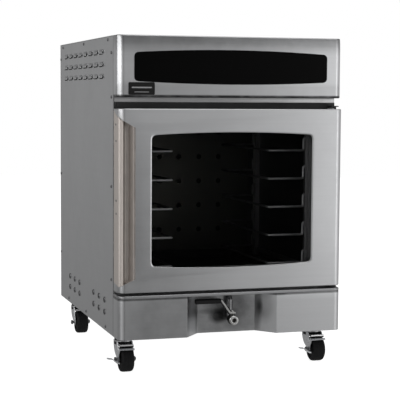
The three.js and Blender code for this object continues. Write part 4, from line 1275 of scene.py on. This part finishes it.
def studio_world():
    """Light by direction: dim in front, brighter to the right and behind, and a soft ceiling."""
    world = bpy.data.worlds.new("studio")
    bpy.context.scene.world = world
    n = Nodes(world)
    coords = n.add("ShaderNodeTexCoord").outputs["Generated"]
    split = n.add("ShaderNodeSeparateXYZ", [(0, coords)]).outputs
    turn = n.math("ARCTAN2", split["X"], n.math("MULTIPLY", split["Y"], -1))
    round_stops = [((angle + 180) / 360, level) for angle, level in STUDIO_ROUND]
    up_stops = [((height + 1) / 2, level) for height, level in STUDIO_UP]
    by_angle = n.levels(n.ramp(turn, -math.pi, math.pi, 0, 1), round_stops)
    by_height = n.levels(n.ramp(split["Z"], -1, 1, 0, 1), up_stops)
    shade = n.add("ShaderNodeBackground", [("Color", n.mix(1, by_angle, by_height, "MULTIPLY"))])
    n.add("ShaderNodeOutputWorld", [("Surface", shade.outputs[0])])


studio_world()


def lamp(name, place, target, size, glow):
    """A softbox whose face has this brightness."""
    data = bpy.data.lights.new(name, "AREA")
    data.shape = "RECTANGLE"
    data.size, data.size_y = size
    data.energy = glow * math.pi * size[0] * size[1]
    piece = into_scene(name, data)
    piece.location = place
    piece.rotation_mode = "QUATERNION"
    piece.rotation_quaternion = (Vector(target) - Vector(place)).to_track_quat("-Z", "Y")
    piece.visible_camera = False


lamp("soft_top", (0.4, -1.0, 3.4), (0, 0, 0.5), (2.4, 2.4), 1.1)
lamp("soft_right", (1.95, -2.8, 0.95), (0, -0.4, 0.7), (1.1, 1.8), 1.05)
lamp("strip_left", (-3.3, -1.1, 1.60), (-0.3, -0.8, 1.2), (5.0, 1.4), 2.2)
lamp("high_front", (0.80, -2.5, 3.1), (0, -0.4, 0.5), (0.5, 0.5), 5.0)

CAMERA = {"place": (-1.2015, -4.0404, 0.8248), "yaw": 17.0166, "pitch": 4.6561, "roll": 0.342, "lens": 115.0}


def make_camera():
    yaw, pitch, roll = (math.radians(CAMERA[k]) for k in ("yaw", "pitch", "roll"))
    ahead = Vector((math.sin(yaw) * math.cos(pitch), math.cos(yaw) * math.cos(pitch), -math.sin(pitch)))
    right = Vector((math.cos(yaw), -math.sin(yaw), 0))
    up = right.cross(ahead)
    right, up = (
        right * math.cos(roll) + up * math.sin(roll),
        up * math.cos(roll) - right * math.sin(roll),
    )
    data = bpy.data.cameras.new("camera")
    data.lens = CAMERA["lens"]
    data.sensor_width = 36.0
    data.clip_start, data.clip_end = 0.05, 60.0
    piece = into_scene("camera", data)
    matrix = Matrix((right, up, -ahead)).transposed().to_4x4()
    matrix.translation = Vector(CAMERA["place"])
    piece.matrix_world = matrix
    bpy.context.scene.camera = piece


make_camera()
bpy.context.scene.view_settings.view_transform = "Standard"
